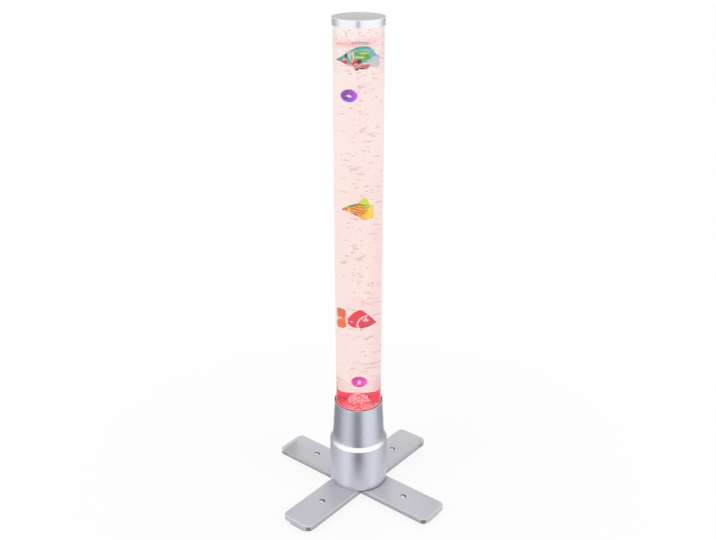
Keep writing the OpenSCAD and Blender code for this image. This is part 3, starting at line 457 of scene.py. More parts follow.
# Grain that runs one way: brushed metal, moulded plastic and paint all use it with their own values
def makeGrain():
    group, given, out = newGroup("surfaceGrain", [
        ("Coordinate", "Vector", None), ("Color", "Color", (0.5, 0.5, 0.5, 1)),
        ("Stretch", "Vector", (1, 1, 1)), ("Scale", "Float", 800.0), ("Shade", "Float", 0.1),
        ("Roughness", "Float", 0.4), ("Roughness Spread", "Float", 0.08)],
        [("Color", "Color"), ("Roughness", "Float"), ("Height", "Float")])
    run = vectorNode(group, "MULTIPLY", given["Coordinate"], given["Stretch"])
    fine = noiseNode(group, run, given["Scale"], 3)
    broad = noiseNode(group, given["Coordinate"], 14, 4)
    both = mathNode(group, "ADD", times(group, fine, 0.65), times(group, broad, 0.35))
    swing = mathNode(group, "SUBTRACT", both, 0.5)
    shade = group.nodes.new("ShaderNodeVectorMath")
    shade.operation = "SCALE"
    level = mathNode(group, "ADD", times(group, swing, given["Shade"]), 1.0)
    fill(group, shade, {0: given["Color"], "Scale": level})
    rough = mathNode(group, "ADD", given["Roughness"], times(group, swing, given["Roughness Spread"]))
    fill(group, out, {"Color": shade.outputs[0], "Roughness": rough, "Height": fine})
    return group


# Dust that settles on what faces up, and in patches
def makeDust():
    group, given, out = newGroup("settledDust", [
        ("Coordinate", "Vector", None), ("Color", "Color", (0.5, 0.5, 0.5, 1)),
        ("Dust", "Color", (0.55, 0.53, 0.5, 1)), ("Amount", "Float", 0.1),
        ("Roughness", "Float", 0.4)],
        [("Color", "Color"), ("Roughness", "Float")])
    level = splitNode(group, group.nodes.new("ShaderNodeNewGeometry").outputs["Normal"])[2]
    patch = rangeNode(group, noiseNode(group, given["Coordinate"], 55, 5), 0.42, 0.68)
    mask = times(group, rangeNode(group, level, 0.3, 0.95), patch, given["Amount"])
    rough = mathNode(group, "ADD", given["Roughness"], times(group, mask, 0.4))
    fill(group, out, {"Color": mixNode(group, mask, given["Color"], given["Dust"]), "Roughness": rough})
    return group


# A soft-edged oval spot in a piece's own coordinates
def makeSpot():
    group, given, out = newGroup("paintSpot", [
        ("Coordinate", "Vector", None), ("Centre", "Vector", (0, 0, 0)),
        ("Size", "Vector", (0.1, 0.1, 0.1)), ("Softness", "Float", 0.2)], [("Mask", "Float")])
    apart = vectorNode(group, "SUBTRACT", given["Coordinate"], given["Centre"])
    far = vectorNode(group, "LENGTH", vectorNode(group, "DIVIDE", apart, given["Size"]))
    low = mathNode(group, "SUBTRACT", 1.0, given["Softness"])
    high = mathNode(group, "ADD", 1.0, given["Softness"])
    fill(group, out, {"Mask": rangeNode(group, far, low, high, 1.0, 0.0)})
    return group


# A curved line of paint: part of a ring round a centre
def makeArc():
    group, given, out = newGroup("paintArc", [
        ("Coordinate", "Vector", None), ("Centre", "Vector", (0, 0, 0)),
        ("Radius", "Float", 10.0), ("Width", "Float", 1.0)], [("Mask", "Float")])
    far = vectorNode(group, "LENGTH", vectorNode(group, "SUBTRACT", given["Coordinate"], given["Centre"]))
    off = mathNode(group, "ABSOLUTE", mathNode(group, "SUBTRACT", far, given["Radius"]))
    low = times(group, given["Width"], 0.35)
    fill(group, out, {"Mask": rangeNode(group, off, low, given["Width"], 1.0, 0.0)})
    return group


grainGroup, dustGroup, spotGroup, arcGroup = makeGrain(), makeDust(), makeSpot(), makeArc()


# Base colour, roughness and bump from one grain
def grained(tree, surface, place, color, roughness, spread, scale, shade, bump, stretch=(1, 1, 1)):
    grain = useGroup(tree, grainGroup, Coordinate=place, Color=color, Stretch=stretch, Scale=scale,
                     Shade=shade, Roughness=roughness, Roughness_Spread=spread)
    fill(tree, surface, {"Base Color": grain.outputs["Color"], "Roughness": grain.outputs["Roughness"]})
    addBump(tree, surface, grain.outputs["Height"], bump)
    return grain


finishes = {
    # colour, metallic, roughness, coat, grain's stretch, scale and shade, spread of roughness, bump, dust
    "bar_silver": ((0.60, 0.595, 0.635), 0.35, 0.44, 0.1, (1, 1, 1), 1400, 0.16, 0.16, 0.10, 0.05),
    "foot_grey": ((0.47, 0.47, 0.50), 0.2, 0.45, 0.1, (1, 1, 1), 1500, 0.16, 0.16, 0.16, 0.06),
    "pad_rubber": ((0.05, 0.05, 0.055), 0.0, 0.75, 0.0, (1, 1, 1), 900, 0.4, 0.2, 0.3, 0.2),
    "screw_steel": ((0.66, 0.66, 0.68), 1.0, 0.26, 0.0, (1, 1, 1), 1600, 0.2, 0.2, 0.08, 0.0),
    "column_silver": ((0.72, 0.72, 0.80), 1.0, 0.28, 0.0, (1, 1, 0.03), 520, 0.10, 0.14, 0.05, 0.0),
    # the shoulder's near-white colour is a painted highlight on its silver
    "shoulder_silver": ((0.98, 0.98, 0.985), 0.25, 0.42, 0.2, (1, 1, 0.1), 700, 0.04, 0.1, 0.03, 0.0),
    "inner_steel": ((0.45, 0.45, 0.46), 1.0, 0.36, 0.0, (1, 0.1, 1), 900, 0.22, 0.25, 0.08, 0.1),
    "gasket_rubber": ((0.02, 0.02, 0.022), 0.0, 0.6, 0.0, (1, 1, 1), 900, 0.4, 0.2, 0.2, 0.05),
    "carrier_white": ((0.75, 0.75, 0.76), 0.0, 0.45, 0.0, (1, 1, 1), 1000, 0.1, 0.16, 0.14, 0.1),
    "nozzle_white": ((0.85, 0.80, 0.80), 0.0, 0.35, 0.2, (1, 1, 1), 1000, 0.1, 0.16, 0.1, 0.0),
    "nut_brass": ((0.70, 0.52, 0.22), 1.0, 0.32, 0.0, (1, 1, 0.2), 1200, 0.2, 0.2, 0.06, 0.0),
    "light_board": ((0.85, 0.85, 0.83), 0.0, 0.42, 0.2, (1, 1, 1), 1200, 0.1, 0.12, 0.05, 0.0),
    "board_green": ((0.03, 0.19, 0.08), 0.0, 0.34, 0.4, (1, 1, 1), 700, 0.5, 0.2, 0.1, 0.08),
    "part_black": ((0.03, 0.03, 0.035), 0.0, 0.5, 0.0, (1, 1, 1), 1200, 0.4, 0.2, 0.15, 0.08),
    "post_brass": ((0.65, 0.50, 0.25), 1.0, 0.3, 0.0, (1, 1, 0.2), 1200, 0.2, 0.2, 0.06, 0.0),
    "pump_black": ((0.035, 0.038, 0.045), 0.0, 0.48, 0.0, (1, 1, 1), 900, 0.4, 0.2, 0.25, 0.1),
    "core_iron": ((0.25, 0.25, 0.27), 1.0, 0.45, 0.0, (0.05, 1, 1), 1600, 0.4, 0.25, 0.2, 0.05),
    "coil_copper": ((0.60, 0.20, 0.06), 1.0, 0.3, 0.3, (0.02, 1, 1), 2200, 0.5, 0.2, 0.5, 0.0),
    "valve_white": ((0.80, 0.80, 0.76), 0.0, 0.4, 0.1, (1, 1, 1), 1000, 0.1, 0.14, 0.1, 0.1),
    "valve_blue": ((0.05, 0.16, 0.48), 0.0, 0.22, 0.4, (1, 1, 1), 900, 0.2, 0.12, 0.06, 0.05),
    "panel_black": ((0.025, 0.025, 0.028), 0.0, 0.42, 0.0, (1, 1, 1), 1700, 0.5, 0.22, 0.3, 0.08),
    "rocker_red": ((0.42, 0.015, 0.015), 0.0, 0.22, 0.5, (1, 1, 1), 1000, 0.2, 0.12, 0.05, 0.05),
    "lead_black": ((0.02, 0.02, 0.02), 0.0, 0.45, 0.1, (1, 1, 1), 900, 0.3, 0.2, 0.1, 0.1),
    "lead_red": ((0.30, 0.02, 0.02), 0.0, 0.42, 0.1, (1, 1, 1), 900, 0.3, 0.2, 0.1, 0.1),
    "lead_white": ((0.70, 0.70, 0.72), 0.0, 0.42, 0.1, (1, 1, 1), 900, 0.1, 0.2, 0.1, 0.1),
    "cap_silver": ((0.93, 0.945, 0.99), 1.0, 0.20, 0.0, (1, 1, 0.08), 700, 0.05, 0.08, 0.03, 0.0),
    "cap_lining": ((0.90, 0.88, 0.88), 0.0, 0.5, 0.0, (1, 1, 1), 900, 0.04, 0.1, 0.05, 0.0),
    "cap_top": ((0.475, 0.455, 0.46), 0.75, 0.36, 0.0, (1, 1, 1), 900, 0.07, 0.14, 0.04, 0.05),
    # screw_bright is a lighter copy of the screw steel: a painted highlight on the screw heads
    "screw_bright": ((0.93, 0.93, 0.95), 0.6, 0.22, 0.0, (1, 1, 1), 1600, 0.1, 0.1, 0.03, 0.0),
    "housing_silver": ((0.70, 0.70, 0.765), 1.0, 0.33, 0.0, (1, 1, 0.03), 520, 0.10, 0.14, 0.05, 0.0),
    "rim_rubber": ((0.07, 0.08, 0.085), 0.0, 0.5, 0.0, (1, 1, 1), 900, 0.3, 0.2, 0.1, 0.0),
}


def solidFinish(name):
    color, metallic, roughness, coat, stretch, scale, shade, spread, bump, dust = finishes[name]
    material, tree, surface, place = newMaterial(name)
    grain = grained(tree, surface, place, color, roughness, spread, scale, shade, bump, stretch)
    worn = useGroup(tree, dustGroup, Coordinate=place, Color=grain.outputs["Color"], Amount=dust,
                    Roughness=grain.outputs["Roughness"])
    fill(tree, surface, {
        "Base Color": worn.outputs["Color"], "Roughness": worn.outputs["Roughness"],
        "Metallic": metallic, "Coat Weight": coat, "Coat Roughness": 0.12})
    return material


finish = {name: solidFinish(name) for name in finishes}


def clearHose():                # pale clear plastic
    material, tree, surface, place = newMaterial("hose_clear")
    grained(tree, surface, place, (0.78, 0.85, 0.85), 0.18, 0.1, 400, 0.12, 0.05, (1, 1, 0.2))
    fill(tree, surface, {"Transmission Weight": 0.75, "IOR": 1.42})
    return material


def lightLens():
    material, tree, surface, place = newMaterial("light_lens")
    cell = noiseNode(tree, place, 900, 2)
    fill(tree, surface, {
        "Emission Color": mixNode(tree, cell, (1.0, 0.16, 0.14), (1.0, 0.5, 0.35)),
        "Base Color": mixNode(tree, cell, (0.9, 0.7, 0.5), (1.0, 0.85, 0.6)),
        "Emission Strength": 1.6, "Roughness": 0.15})
    return material


def reopened(name):             # a made finish, for shading that only its own piece has
    tree = finish[name].node_tree
    return tree, tree.nodes["Principled BSDF"], tree.nodes["Texture Coordinate"].outputs["Object"]


def shadeShoulder():            # painted shade: greyer where it turns away from the eye, with a faint painted glow where it faces it
    tree, surface = reopened("shoulder_silver")[:2]
    away = rangeNode(tree, turnedAway(tree, 0.5), 0.16, 0.55)
    paintOver(tree, surface, away, (0.50, 0.50, 0.56))
    fill(tree, surface, {
        "Emission Color": mixNode(tree, away, (0.10, 0.11, 0.13), (0, 0, 0)), "Emission Strength": 1.0})


def shadeHousing():             # painted shadow in the gap over the lower bar, and a thin line of painted shade all round its foot
    tree, surface, place = reopened("housing_silver")
    x, y, z = splitNode(tree, place)
    foot = rangeNode(tree, z, 0.0222, 0.0236, 1.0, 0.0)
    side = rangeNode(tree, x, 0.030, 0.043, 0.08, 1.0)
    paintOver(tree, surface, times(tree, foot, side), (0.06, 0.06, 0.08))


def shadeBars():                # painted shade on the sides, darker low down; a painted highlight on the rolled edge; painted light on the ends; a painted dark reflection on the front corners
    tree, surface, place = reopened("bar_silver")
    x, y, z = splitNode(tree, place)
    normal = tree.nodes.new("ShaderNodeNewGeometry").outputs["Normal"]
    level = splitNode(tree, normal)[2]
    upright = rangeNode(tree, mathNode(tree, "ABSOLUTE", level), 0.30, 0.60, 1.0, 0.0)
    edgeHighlight = times(tree, rangeNode(tree, level, 0.40, 0.60), rangeNode(tree, level, 0.93, 0.985, 1.0, 0.0))
    low = rangeNode(tree, z, 0.0095, 0.0185, 0.80, 0.16)
    apart = mathNode(tree, "MAXIMUM", mathNode(tree, "ABSOLUTE", x), mathNode(tree, "ABSOLUTE", y))
    endLight = rangeNode(tree, apart, 0.211, 0.2145)
    # the corners that face the camera get a painted dark reflection
    corner = towards(tree, normal, nearer, 0.86, 0.97)
    paintOver(tree, surface, times(tree, upright, low), (0.30, 0.295, 0.34))
    paintOver(tree, surface, times(tree, edgeHighlight, 0.25), (0.86, 0.86, 0.90))
    paintOver(tree, surface, times(tree, upright, endLight, 0.85), (0.60, 0.59, 0.70))
    paintOver(tree, surface, times(tree, upright, corner, 0.8), (0.13, 0.12, 0.12))


shadeShoulder()
shadeHousing()
shadeBars()
finish["hose_clear"] = clearHose()
finish["light_lens"] = lightLens()
print("finishes made:", len(finish))


# Sizes in millimetres, and the colours of the clear parts. Their pinks and reds, the tube's darker outline and its
# red foot are painted light and shade from the red lights below
tubeLook = {
    "outer": 50.0, "inner": 47.0, "foot": 175.0, "top": 1056.0, "round": 0.5, "steps": 128,
    "clear": (0.99, 0.93, 0.91), "cloud": (0.99, 0.915, 0.90), "edge": (1.0, 0.80, 0.80),
    "right": (0.955, 0.83, 0.86), "outline": (0.74, 0.61, 0.61),
    "footBack": (0.30, 0.01, 0.03), "footFront": (0.42, 0.24, 0.24), "far": (0.92, 0.78, 0.76),
}
waterLook = {
    "radius": 47.02, "floor": 224.0, "top": 1016.0, "steps": 96, "topRings": 22,
    "red": (0.97, 0.045, 0.10), "ripple": (1.0, 0.42, 0.48), "far": (0.95, 0.76, 0.74),
    "redTop": 229.0, "rippleHeight": 1.0, "meniscus": 1.6, "settle": 0.6,
}


# Painted light: rays that have bounced many times in the clear parts turn black and glow in their pale colour
# instead
def endLongPaths(tree, surface, pale, depth=8.5):
    path = tree.nodes.new("ShaderNodeLightPath")
    far = mathNode(tree, "GREATER_THAN", path.outputs["Ray Depth"], depth)
    paintOver(tree, surface, far, (0, 0, 0))
    paintOver(tree, surface, far, pale, "Emission Color")
    surface.inputs["Emission Strength"].default_value = 1.0


def tubeClear():
    material, tree, surface, place = newMaterial("tube_clear")
    z = splitNode(tree, place)[2]
    away = turnedAway(tree, 0.35)
    cloud = rangeNode(tree, noiseNode(tree, place, 9, 3), 0.35, 0.7)
    # painted light: pinker towards the outline, with a painted darker outline at the very edge
    body = mixNode(tree, mathNode(tree, "POWER", away, 3.0),
                   mixNode(tree, cloud, tubeLook["clear"], tubeLook["cloud"]), tubeLook["edge"])
    # painted light: pinker on the right side, less so higher up
    right = times(tree, towards(tree, place, across, 0.014, 0.044),
                  rangeNode(tree, z, 0.40, 0.90, 0.85, 0.25))
    body = mixNode(tree, right, body, tubeLook["right"])
    scuff = noiseNode(tree, vectorNode(tree, "MULTIPLY", place, (1, 1, 0.2)), 160, 4)
    low = rangeNode(tree, z, 0.2262, 0.2290, 1.0, 0.0)          # painted red glow: light from below caught in the wall's foot
    foot = mixNode(tree, towards(tree, place, nearer, -0.020, 0.030),
                   tubeLook["footBack"], tubeLook["footFront"])
    fill(tree, surface, {
        "Base Color": mixNode(tree, rangeNode(tree, away, 0.58, 0.78), body, tubeLook["outline"]),
        "Roughness": rangeNode(tree, scuff, 0.55, 0.8, 0.0, 0.05),
        "Emission Color": mixNode(tree, low, (0, 0, 0), foot),
        "Transmission Weight": 1.0, "IOR": 1.49, "Specular IOR Level": 0.08})
    endLongPaths(tree, surface, tubeLook["far"])
    return material


def waterClear():
    material, tree, surface, place = newMaterial("water_clear")
    z = splitNode(tree, place)[2]
    sideways = vectorNode(tree, "DOT_PRODUCT", place, across)
    cloud = rangeNode(tree, noiseNode(tree, place, 16, 3), 0.3, 0.7)
    # painted light from the red lights below: paler higher up, a pinker stripe down the middle that fades near the
    # top,
    # pinker on the right side, pink ripples at the top and a red glow at the bottom
    rise = rangeNode(tree, z, 0.55, 0.92)
    pale = mixNode(tree, rise, (0.992, 0.917, 0.906), (0.995, 0.984, 0.976))
    pale = mixNode(tree, times(tree, cloud, 0.6), pale, (0.992, 0.912, 0.900))
    beam = times(tree, rangeNode(tree, mathNode(tree, "ABSOLUTE", sideways), 0.006, 0.024, 1.0, 0.0),
                 rangeNode(tree, z, 0.86, 0.97, 1.0, 0.0))
    pale = mixNode(tree, times(tree, beam, 0.55), pale, (1.0, 0.90, 0.905))
    right = times(tree, rangeNode(tree, sideways, 0.016, 0.036), rangeNode(tree, rise, 0.2, 1.0, 1.0, 0.3))
    pale = mixNode(tree, times(tree, right, 0.7), pale, (0.975, 0.865, 0.885))
    streak = noiseNode(tree, vectorNode(tree, "MULTIPLY", place, (1, 1, 5)), 30, 3, 0.8)
    top = rangeNode(tree, z, 1.006, 1.014)
    rosy = times(tree, rangeNode(tree, streak, 0.42, 0.62), top)
    wave = noiseNode(tree, vectorNode(tree, "MULTIPLY", place, (1, 1, 1.6)), 42, 2, 0.4)
    level = mathNode(tree, "SUBTRACT", z, times(tree, mathNode(tree, "SUBTRACT", wave, 0.5), 0.012))
    redTop = waterLook["redTop"] / 1000
    red = rangeNode(tree, level, redTop - 0.002, redTop + 0.003, 1.0, 0.0)
    redGlow = mixNode(tree, noiseNode(tree, place, 120, 3), waterLook["red"], (0.95, 0.06, 0.12))
    # painted reflection: the colour that the moving surface throws back from below
    paintedReflection = mixNode(tree, rosy, (0.11, 0.06, 0.07), (0.30, 0.08, 0.11))
    facing = splitNode(tree, tree.nodes.new("ShaderNodeNewGeometry").outputs["Normal"])[2]
    flatTop = times(tree, rangeNode(tree, facing, 0.4, 0.9), top)
    fill(tree, surface, {
        "Base Color": mixNode(tree, red, mixNode(tree, rosy, pale, waterLook["ripple"]), redGlow),
        "Emission Color": mixNode(tree, flatTop, (0, 0, 0), paintedReflection),
        "Specular IOR Level": 0.06, "Roughness": 0.0, "Transmission Weight": 1.0, "IOR": 1.33})
    endLongPaths(tree, surface, waterLook["far"])
    return material


def floorGlowing():             # painted light: the clear floor glows in red swirls from the lights below, with whiter threads and a pale rim towards the camera
    material, tree, surface, place = newMaterial("floor_clear")
    out = vectorNode(tree, "LENGTH", vectorNode(tree, "MULTIPLY", place, (1, 1, 0)))
    swirl = noiseNode(tree, place, 70, 4, 1.2)
    warm = mixNode(tree, rangeNode(tree, swirl, 0.35, 0.65), (0.26, 0.0, 0.012), (0.84, 0.0, 0.055))
    streak = noiseNode(tree, place, 150, 3, 2.0)
    front = towards(tree, place, nearer, -0.024, 0.032)
    thread = rangeNode(tree, mathNode(tree, "ADD", streak, times(tree, front, 0.09)), 0.54, 0.61)
    warm = mixNode(tree, times(tree, thread, front, 0.9), warm, (0.88, 0.40, 0.40))
    rim = times(tree, rangeNode(tree, out, 0.035, 0.045), rangeNode(tree, swirl, 0.34, 0.50), front, 0.9)
    fill(tree, surface, {
        "Emission Color": mixNode(tree, rim, warm, (0.90, 0.45, 0.42)),
        "Base Color": mixNode(tree, swirl, (0.10, 0.0, 0.01), (0.16, 0.005, 0.015)),
        "Specular IOR Level": 0.02, "Emission Strength": 1.25, "Roughness": 0.2})
    return material


def rimGlowing():               # painted red glow on the ring's inner side, for light from below seen through the tube's wall, paler towards the camera
    material, tree, surface, place = newMaterial("rim_lit")
    swirl = noiseNode(tree, place, 110, 3, 0.8)
    redGlow = mixNode(tree, rangeNode(tree, swirl, 0.4, 0.6), (0.35, 0.0, 0.02), (0.70, 0.01, 0.06))
    front = towards(tree, place, nearer, -0.020, 0.030)
    fill(tree, surface, {
        "Emission Color": mixNode(tree, front, redGlow, (0.62, 0.26, 0.25)),
        "Base Color": mixNode(tree, swirl, (0.3, 0.01, 0.02), (0.5, 0.03, 0.05)),
        "Emission Strength": 0.8})
    return material


finish["tube_clear"] = tubeClear()
finish["water_clear"] = waterClear()
finish["floor_clear"] = floorGlowing()
finish["rim_lit"] = rimGlowing()


def makeTube(look):
    outer, inner, foot, top, edge = (look[key] for key in ("outer", "inner", "foot", "top", "round"))
    tube = turned("clearTube", [
        (inner, foot + edge), (inner + edge, foot), (outer - edge, foot), (outer, foot + edge),
        (outer, top - edge), (outer - edge, top), (inner + edge, top), (inner, top - edge)], look["steps"])
    smoothOver(tube, 35)
    seat(tube, "stand", "tube_clear", finish["tube_clear"], stands=["water_tube"])


def makeWater(look):
    radius, floor, top, count = look["radius"], look["floor"], look["top"], look["topRings"]
    flat = [(radius * k / count, top) for k in range(count - 1, -1, -1)]
    body = turned("waterBody", [(0, floor), (radius, floor), (radius, top)] + flat, look["steps"])
    for v in body.data.vertices:        # rings that spread from the bubbles, and the rise at the wall
        if v.co.z > top / 1000 - 0.0001:
            r = math.hypot(v.co.x, v.co.y)
            ring = math.sin(r * 560 + 1.1 * math.sin(v.co.x * 90)) * math.cos(v.co.y * 120 + v.co.x * 70)
            edge = max(0.0, (r * 1000 - 43.5) / 3.5) ** 2
            ripple = look["rippleHeight"] * ring * (1 - edge) + look["meniscus"] * edge
            v.co.z += ripple / 1000 - look["settle"] / 1000
    smoothOver(body, 40)
    seat(body, "stand", "water_clear", finish["water_clear"], stands=["water"])


makeTube(tubeLook)
makeWater(waterLook)
print("tube and water filled")


# Sizes and heights in millimetres; flat is a bubble's height for its width
bubbleLook = {
    "seed": 11, "count": 420, "low": 242, "high": 1008, "reach": 43.5, "clearDepth": 13.5,
    "width": (3.0, 10.5), "flat": (0.28, 0.5),
    "shadow": (0.88, 0.74, 0.76), "light": (0.98, 0.90, 0.90),
}
plumeLook = {
    "seed": 5, "count": 120, "low": 227, "high": 250, "reach": 16, "width": (3.4, 8.0), "flat": (0.5, 0.8),
    "nozzle": (9, 233.5),                               # its radius, and the height that clears it
    "ballLow": (1, 0, 253), "ballClear": 12.8,          # the magenta ball's lowest place, and its room
    "shadow": (0.66, 0.05, 0.12), "light": (1.0, 0.84, 0.84),
}
dropLook = {
    "seed": 23, "count": 110, "low": 1019, "high": 1042, "wall": 46.6, "thick": 0.9,
    "width": (1.6, 6.5), "flat": (0.2, 0.4),
    "shadow": (0.80, 0.64, 0.62), "light": (0.99, 0.93, 0.92),
}


# painted shade darker at each bubble's outline, painted patches of light and shadow, and for the plume a painted
# glow from the red lights below
def bubbleFilm(name, look, clearness, glow=0.0, patches=95):
    material, tree, surface, place = newMaterial(name)
    patch = noiseNode(tree, place, patches, 2)
    shade = mixNode(tree, rangeNode(tree, patch, 0.36, 0.62), look["shadow"], look["light"])
    fill(tree, surface, {
        "Base Color": mixNode(tree, turnedAway(tree, 0.5), shade, look["shadow"]),
        "Roughness": rangeNode(tree, patch, 0.3, 0.7, 0.14, 0.30),
        "Transmission Weight": clearness, "Specular IOR Level": 0.2, "IOR": 1.10})
    if glow:
        fill(tree, surface, {"Emission Color": shade, "Emission Strength": glow})
    return material


finish["bubble_film"] = bubbleFilm("bubble_film", bubbleLook, 1.0)
finish["plume_film"] = bubbleFilm("plume_film", plumeLook, 0.3, 0.42, 240)
finish["drop_film"] = bubbleFilm("drop_film", dropLook, 1.0)


def bubbleSeed(name):
    deselectAll()
    bpy.ops.mesh.primitive_uv_sphere_add(segments=9, ring_count=6, radius=0.5)
    seed = takeNew(name)
    editSome(seed, "VERT", lambda v: v.co.z < -0.1)     # a rising bubble is flat below
    bpy.ops.transform.resize(value=(1, 1, 0.55), center_override=(0, 0, -0.1))
    leaveEdit()
    smoothOver(seed)
    return seed


def scatter(name, places, film):            # places hold a middle, a size and a lean and turn, in mm
    seed = bubbleSeed(name + "Seed")
    copies = []
    for middle, size, lean, turn in places:
        copy = seed.copy()
        copy.data = seed.data.copy()
        scene.collection.objects.link(copy)
        copy.matrix_world = (Matrix.Translation(middle / 1000) @ Matrix.Rotation(turn, 4, "Z")
                             @ Matrix.Rotation(lean, 4, "X")
                             @ Matrix.Diagonal((*(one / 1000 for one in size), 1)))
        copies.append(copy)
    bpy.data.objects.remove(seed)
    seat(joined(name, copies), "stand", "water_clear", finish[film])


def inWater(side, depth, up):               # to the right in the photo, towards the camera, up
    return across * side + nearer * depth + Vector((0, 0, up))


def risingPlaces(look):
    chance = random.Random(look["seed"])
    places = []
    while len(places) < look["count"]:
        side = chance.gauss(6, 20) if chance.random() < 0.8 else chance.uniform(35, 43)
        depth = chance.uniform(-look["reach"], look["reach"])
        if math.hypot(side, depth) > look["reach"] or (abs(depth) < look["clearDepth"] and side < 35):
            continue
        up = look["low"] + (look["high"] - look["low"]) * chance.random() ** 0.75
        wide = chance.uniform(*look["width"]) * (0.7 if chance.random() < 0.5 else 1.0)
        size = (wide, wide * 0.9, wide * chance.uniform(*look["flat"]))
        places.append((inWater(side, depth, up), size, chance.uniform(-0.3, 0.3), chance.uniform(0, 3.1)))
    return places


def plumePlaces(look):
    chance = random.Random(look["seed"])
    places = []
    nozzleRadius, nozzleClear = look["nozzle"]
    while len(places) < look["count"]:
        share = chance.random()
        spread = look["reach"] * (1.0 - 0.22 * share)
        side, depth = chance.uniform(-spread, spread), chance.uniform(-spread, spread)
        if math.hypot(side, depth) > spread:
            continue
        up = look["low"] + (look["high"] - look["low"]) * share ** 1.6
        if math.hypot(side, depth) < nozzleRadius:
            up = max(up, nozzleClear)
        wide = chance.uniform(*look["width"])
        if math.dist((side, depth, up), look["ballLow"]) < look["ballClear"] + wide / 2:
            continue
        size = (wide, wide * 0.9, wide * chance.uniform(*look["flat"]))
        places.append((inWater(side, depth, up), size, chance.uniform(-0.6, 0.6), chance.uniform(0, 3.1)))
    return places


def dropPlaces(look):
    chance = random.Random(look["seed"])
    places = []
    for k in range(look["count"]):
        turn = chance.uniform(0, 2 * math.pi)
        up = look["low"] + (look["high"] - look["low"]) * chance.random() ** 1.6
        wide = chance.uniform(*look["width"])
        size = (look["thick"], wide, wide * chance.uniform(*look["flat"]))
        middle = Vector((math.cos(turn) * look["wall"], math.sin(turn) * look["wall"], up))
        places.append((middle, size, chance.uniform(-0.2, 0.2), turn))
    return places


scatter("risingBubbles", risingPlaces(bubbleLook), "bubble_film")
scatter("nozzlePlume", plumePlaces(plumeLook), "plume_film")
scatter("wetDrops", dropPlaces(dropLook), "drop_film")
print("bubbles risen")


# Sizes are in millimetres from the fish's middle: x to the right in the photo, z up
fishLooks = {
    "teal": {
        "up": 985, "side": 0, "faces": -1, "thick": 20,
        "top": [(-34, -3), (-26, 1.4), (-19, 7.4), (-12, 14), (-3, 19.6), (6, 21.4), (15, 20.6), (21, 16.4),
                (25.5, 9), (27.5, 2)],
        "bottom": [(-34, -5.4), (-26, -8.8), (-19, -12.4), (-9, -17.2), (-0.5, -20), (9, -19.8), (17, -15.5),
                   (22, -10), (27.5, -4)],
        "tail": [(17, 3), (24, 5.4), (30.4, 3), (30.6, -4), (31, -12), (29, -17.5), (22, -18), (14, -12)],
        "fins": [[(-8, -14), (-2, -19), (3, -22), (10, -21.6), (16, -17), (9, -12)],
                 [(-9, 13), (-2, 18.4), (6, 21.6), (14, 20.8), (19, 16), (8, 10)],
                 [(-7, -17), (-5, -23.5), (-1.5, -24.5), (1, -18)]],
        "sideFin": (-3, -7), "eye": (-26, -1.6),
    },
    "yellow": {
        "up": 680, "side": 0, "faces": -1, "thick": 20,
        "top": [(-25, 0.6), (-19, 5), (-13, 9), (-5, 11.8), (3, 12), (9, 10.5), (14, 7), (17.5, 4)],
        "bottom": [(-25, -2.6), (-19, -4.8), (-13, -7.5), (-5.5, -12.5), (2, -17.4), (6, -19.2), (11, -18.6),
                   (15, -14), (17.5, -9)],
        "tail": [(12, 5), (17, 8.5), (21.6, 10), (23.2, 3), (22.2, -3.5), (23.2, -12), (21.4, -20),
                 (15.5, -20), (11, -12)],
        "fins": [[(-5, 10), (0, 14.5), (4.5, 22), (8, 24.4), (12, 23.4), (14.5, 17), (16.5, 7), (8, 4)],
                 [(0, -14), (4, -20), (9, -23), (15, -21.4), (15, -14), (8, -10)]],
        "sideFin": (-4, -3), "eye": (-19.5, 1.4),
    },
    "red": {
        "up": 432, "side": -4, "faces": 1, "thick": 20,
        "top": [(-13.5, 2), (-9, 9), (-3, 15.5), (3, 19.6), (9, 19.6), (16, 13.5), (24, 3), (29, -4),
                (33, -8.6)],
        "bottom": [(-13.5, -13), (-9, -18.6), (4, -21), (16, -20), (24, -16), (33, -10.8)],
        "tail": [(-11, -4), (-14.5, 8), (-16.5, 19), (-22, 23), (-31.6, 22.6), (-32.4, 12), (-31, 3),
                 (-30, -0.5), (-31, -5), (-32.4, -12), (-31.4, -20), (-26, -22.6), (-18, -22), (-13, -14)],
        "fins": [[(-4, 10), (0, 18), (6, 21), (12, 18), (13, 9), (5, 4)],
                 [(-2, -16), (3, -21), (9, -22.6), (14, -20), (14, -14), (6, -11)]],
        "sideFin": (8, -6), "eye": (22.5, -2.5),
    },
}
finLook = {
    "thick": 2.4, "sideThick": 1.8, "sideLean": 14, "sideSunk": 0.2,
    "side": ((4, 0), (0, 3.2), (-7, 3.0), (-9, -0.6), (-5, -4), (1, -3.2)),     # of a fish that faces right
}
eyeLook = {"radius": 2.1, "flat": 0.6, "pupil": 0.72, "sunk": 0.80}


def along(points, x):               # height of an outline at this place
    points = sorted(points)
    for (x0, z0), (x1, z1) in zip(points, points[1:]):
        if x <= x1:
            s = max(0.0, min(1.0, (x - x0) / (x1 - x0)))
            return z0 + (z1 - z0) * s
    return points[-1][1]


def fishDepth(look, x):             # half the body's thickness at this place
    tallest = max(along(look["top"], k) - along(look["bottom"], k) for k in range(-30, 31))
    here = along(look["top"], x) - along(look["bottom"], x)
    return look["thick"] / 2 * max(0.0, min(1.0, here / tallest)) ** 0.62


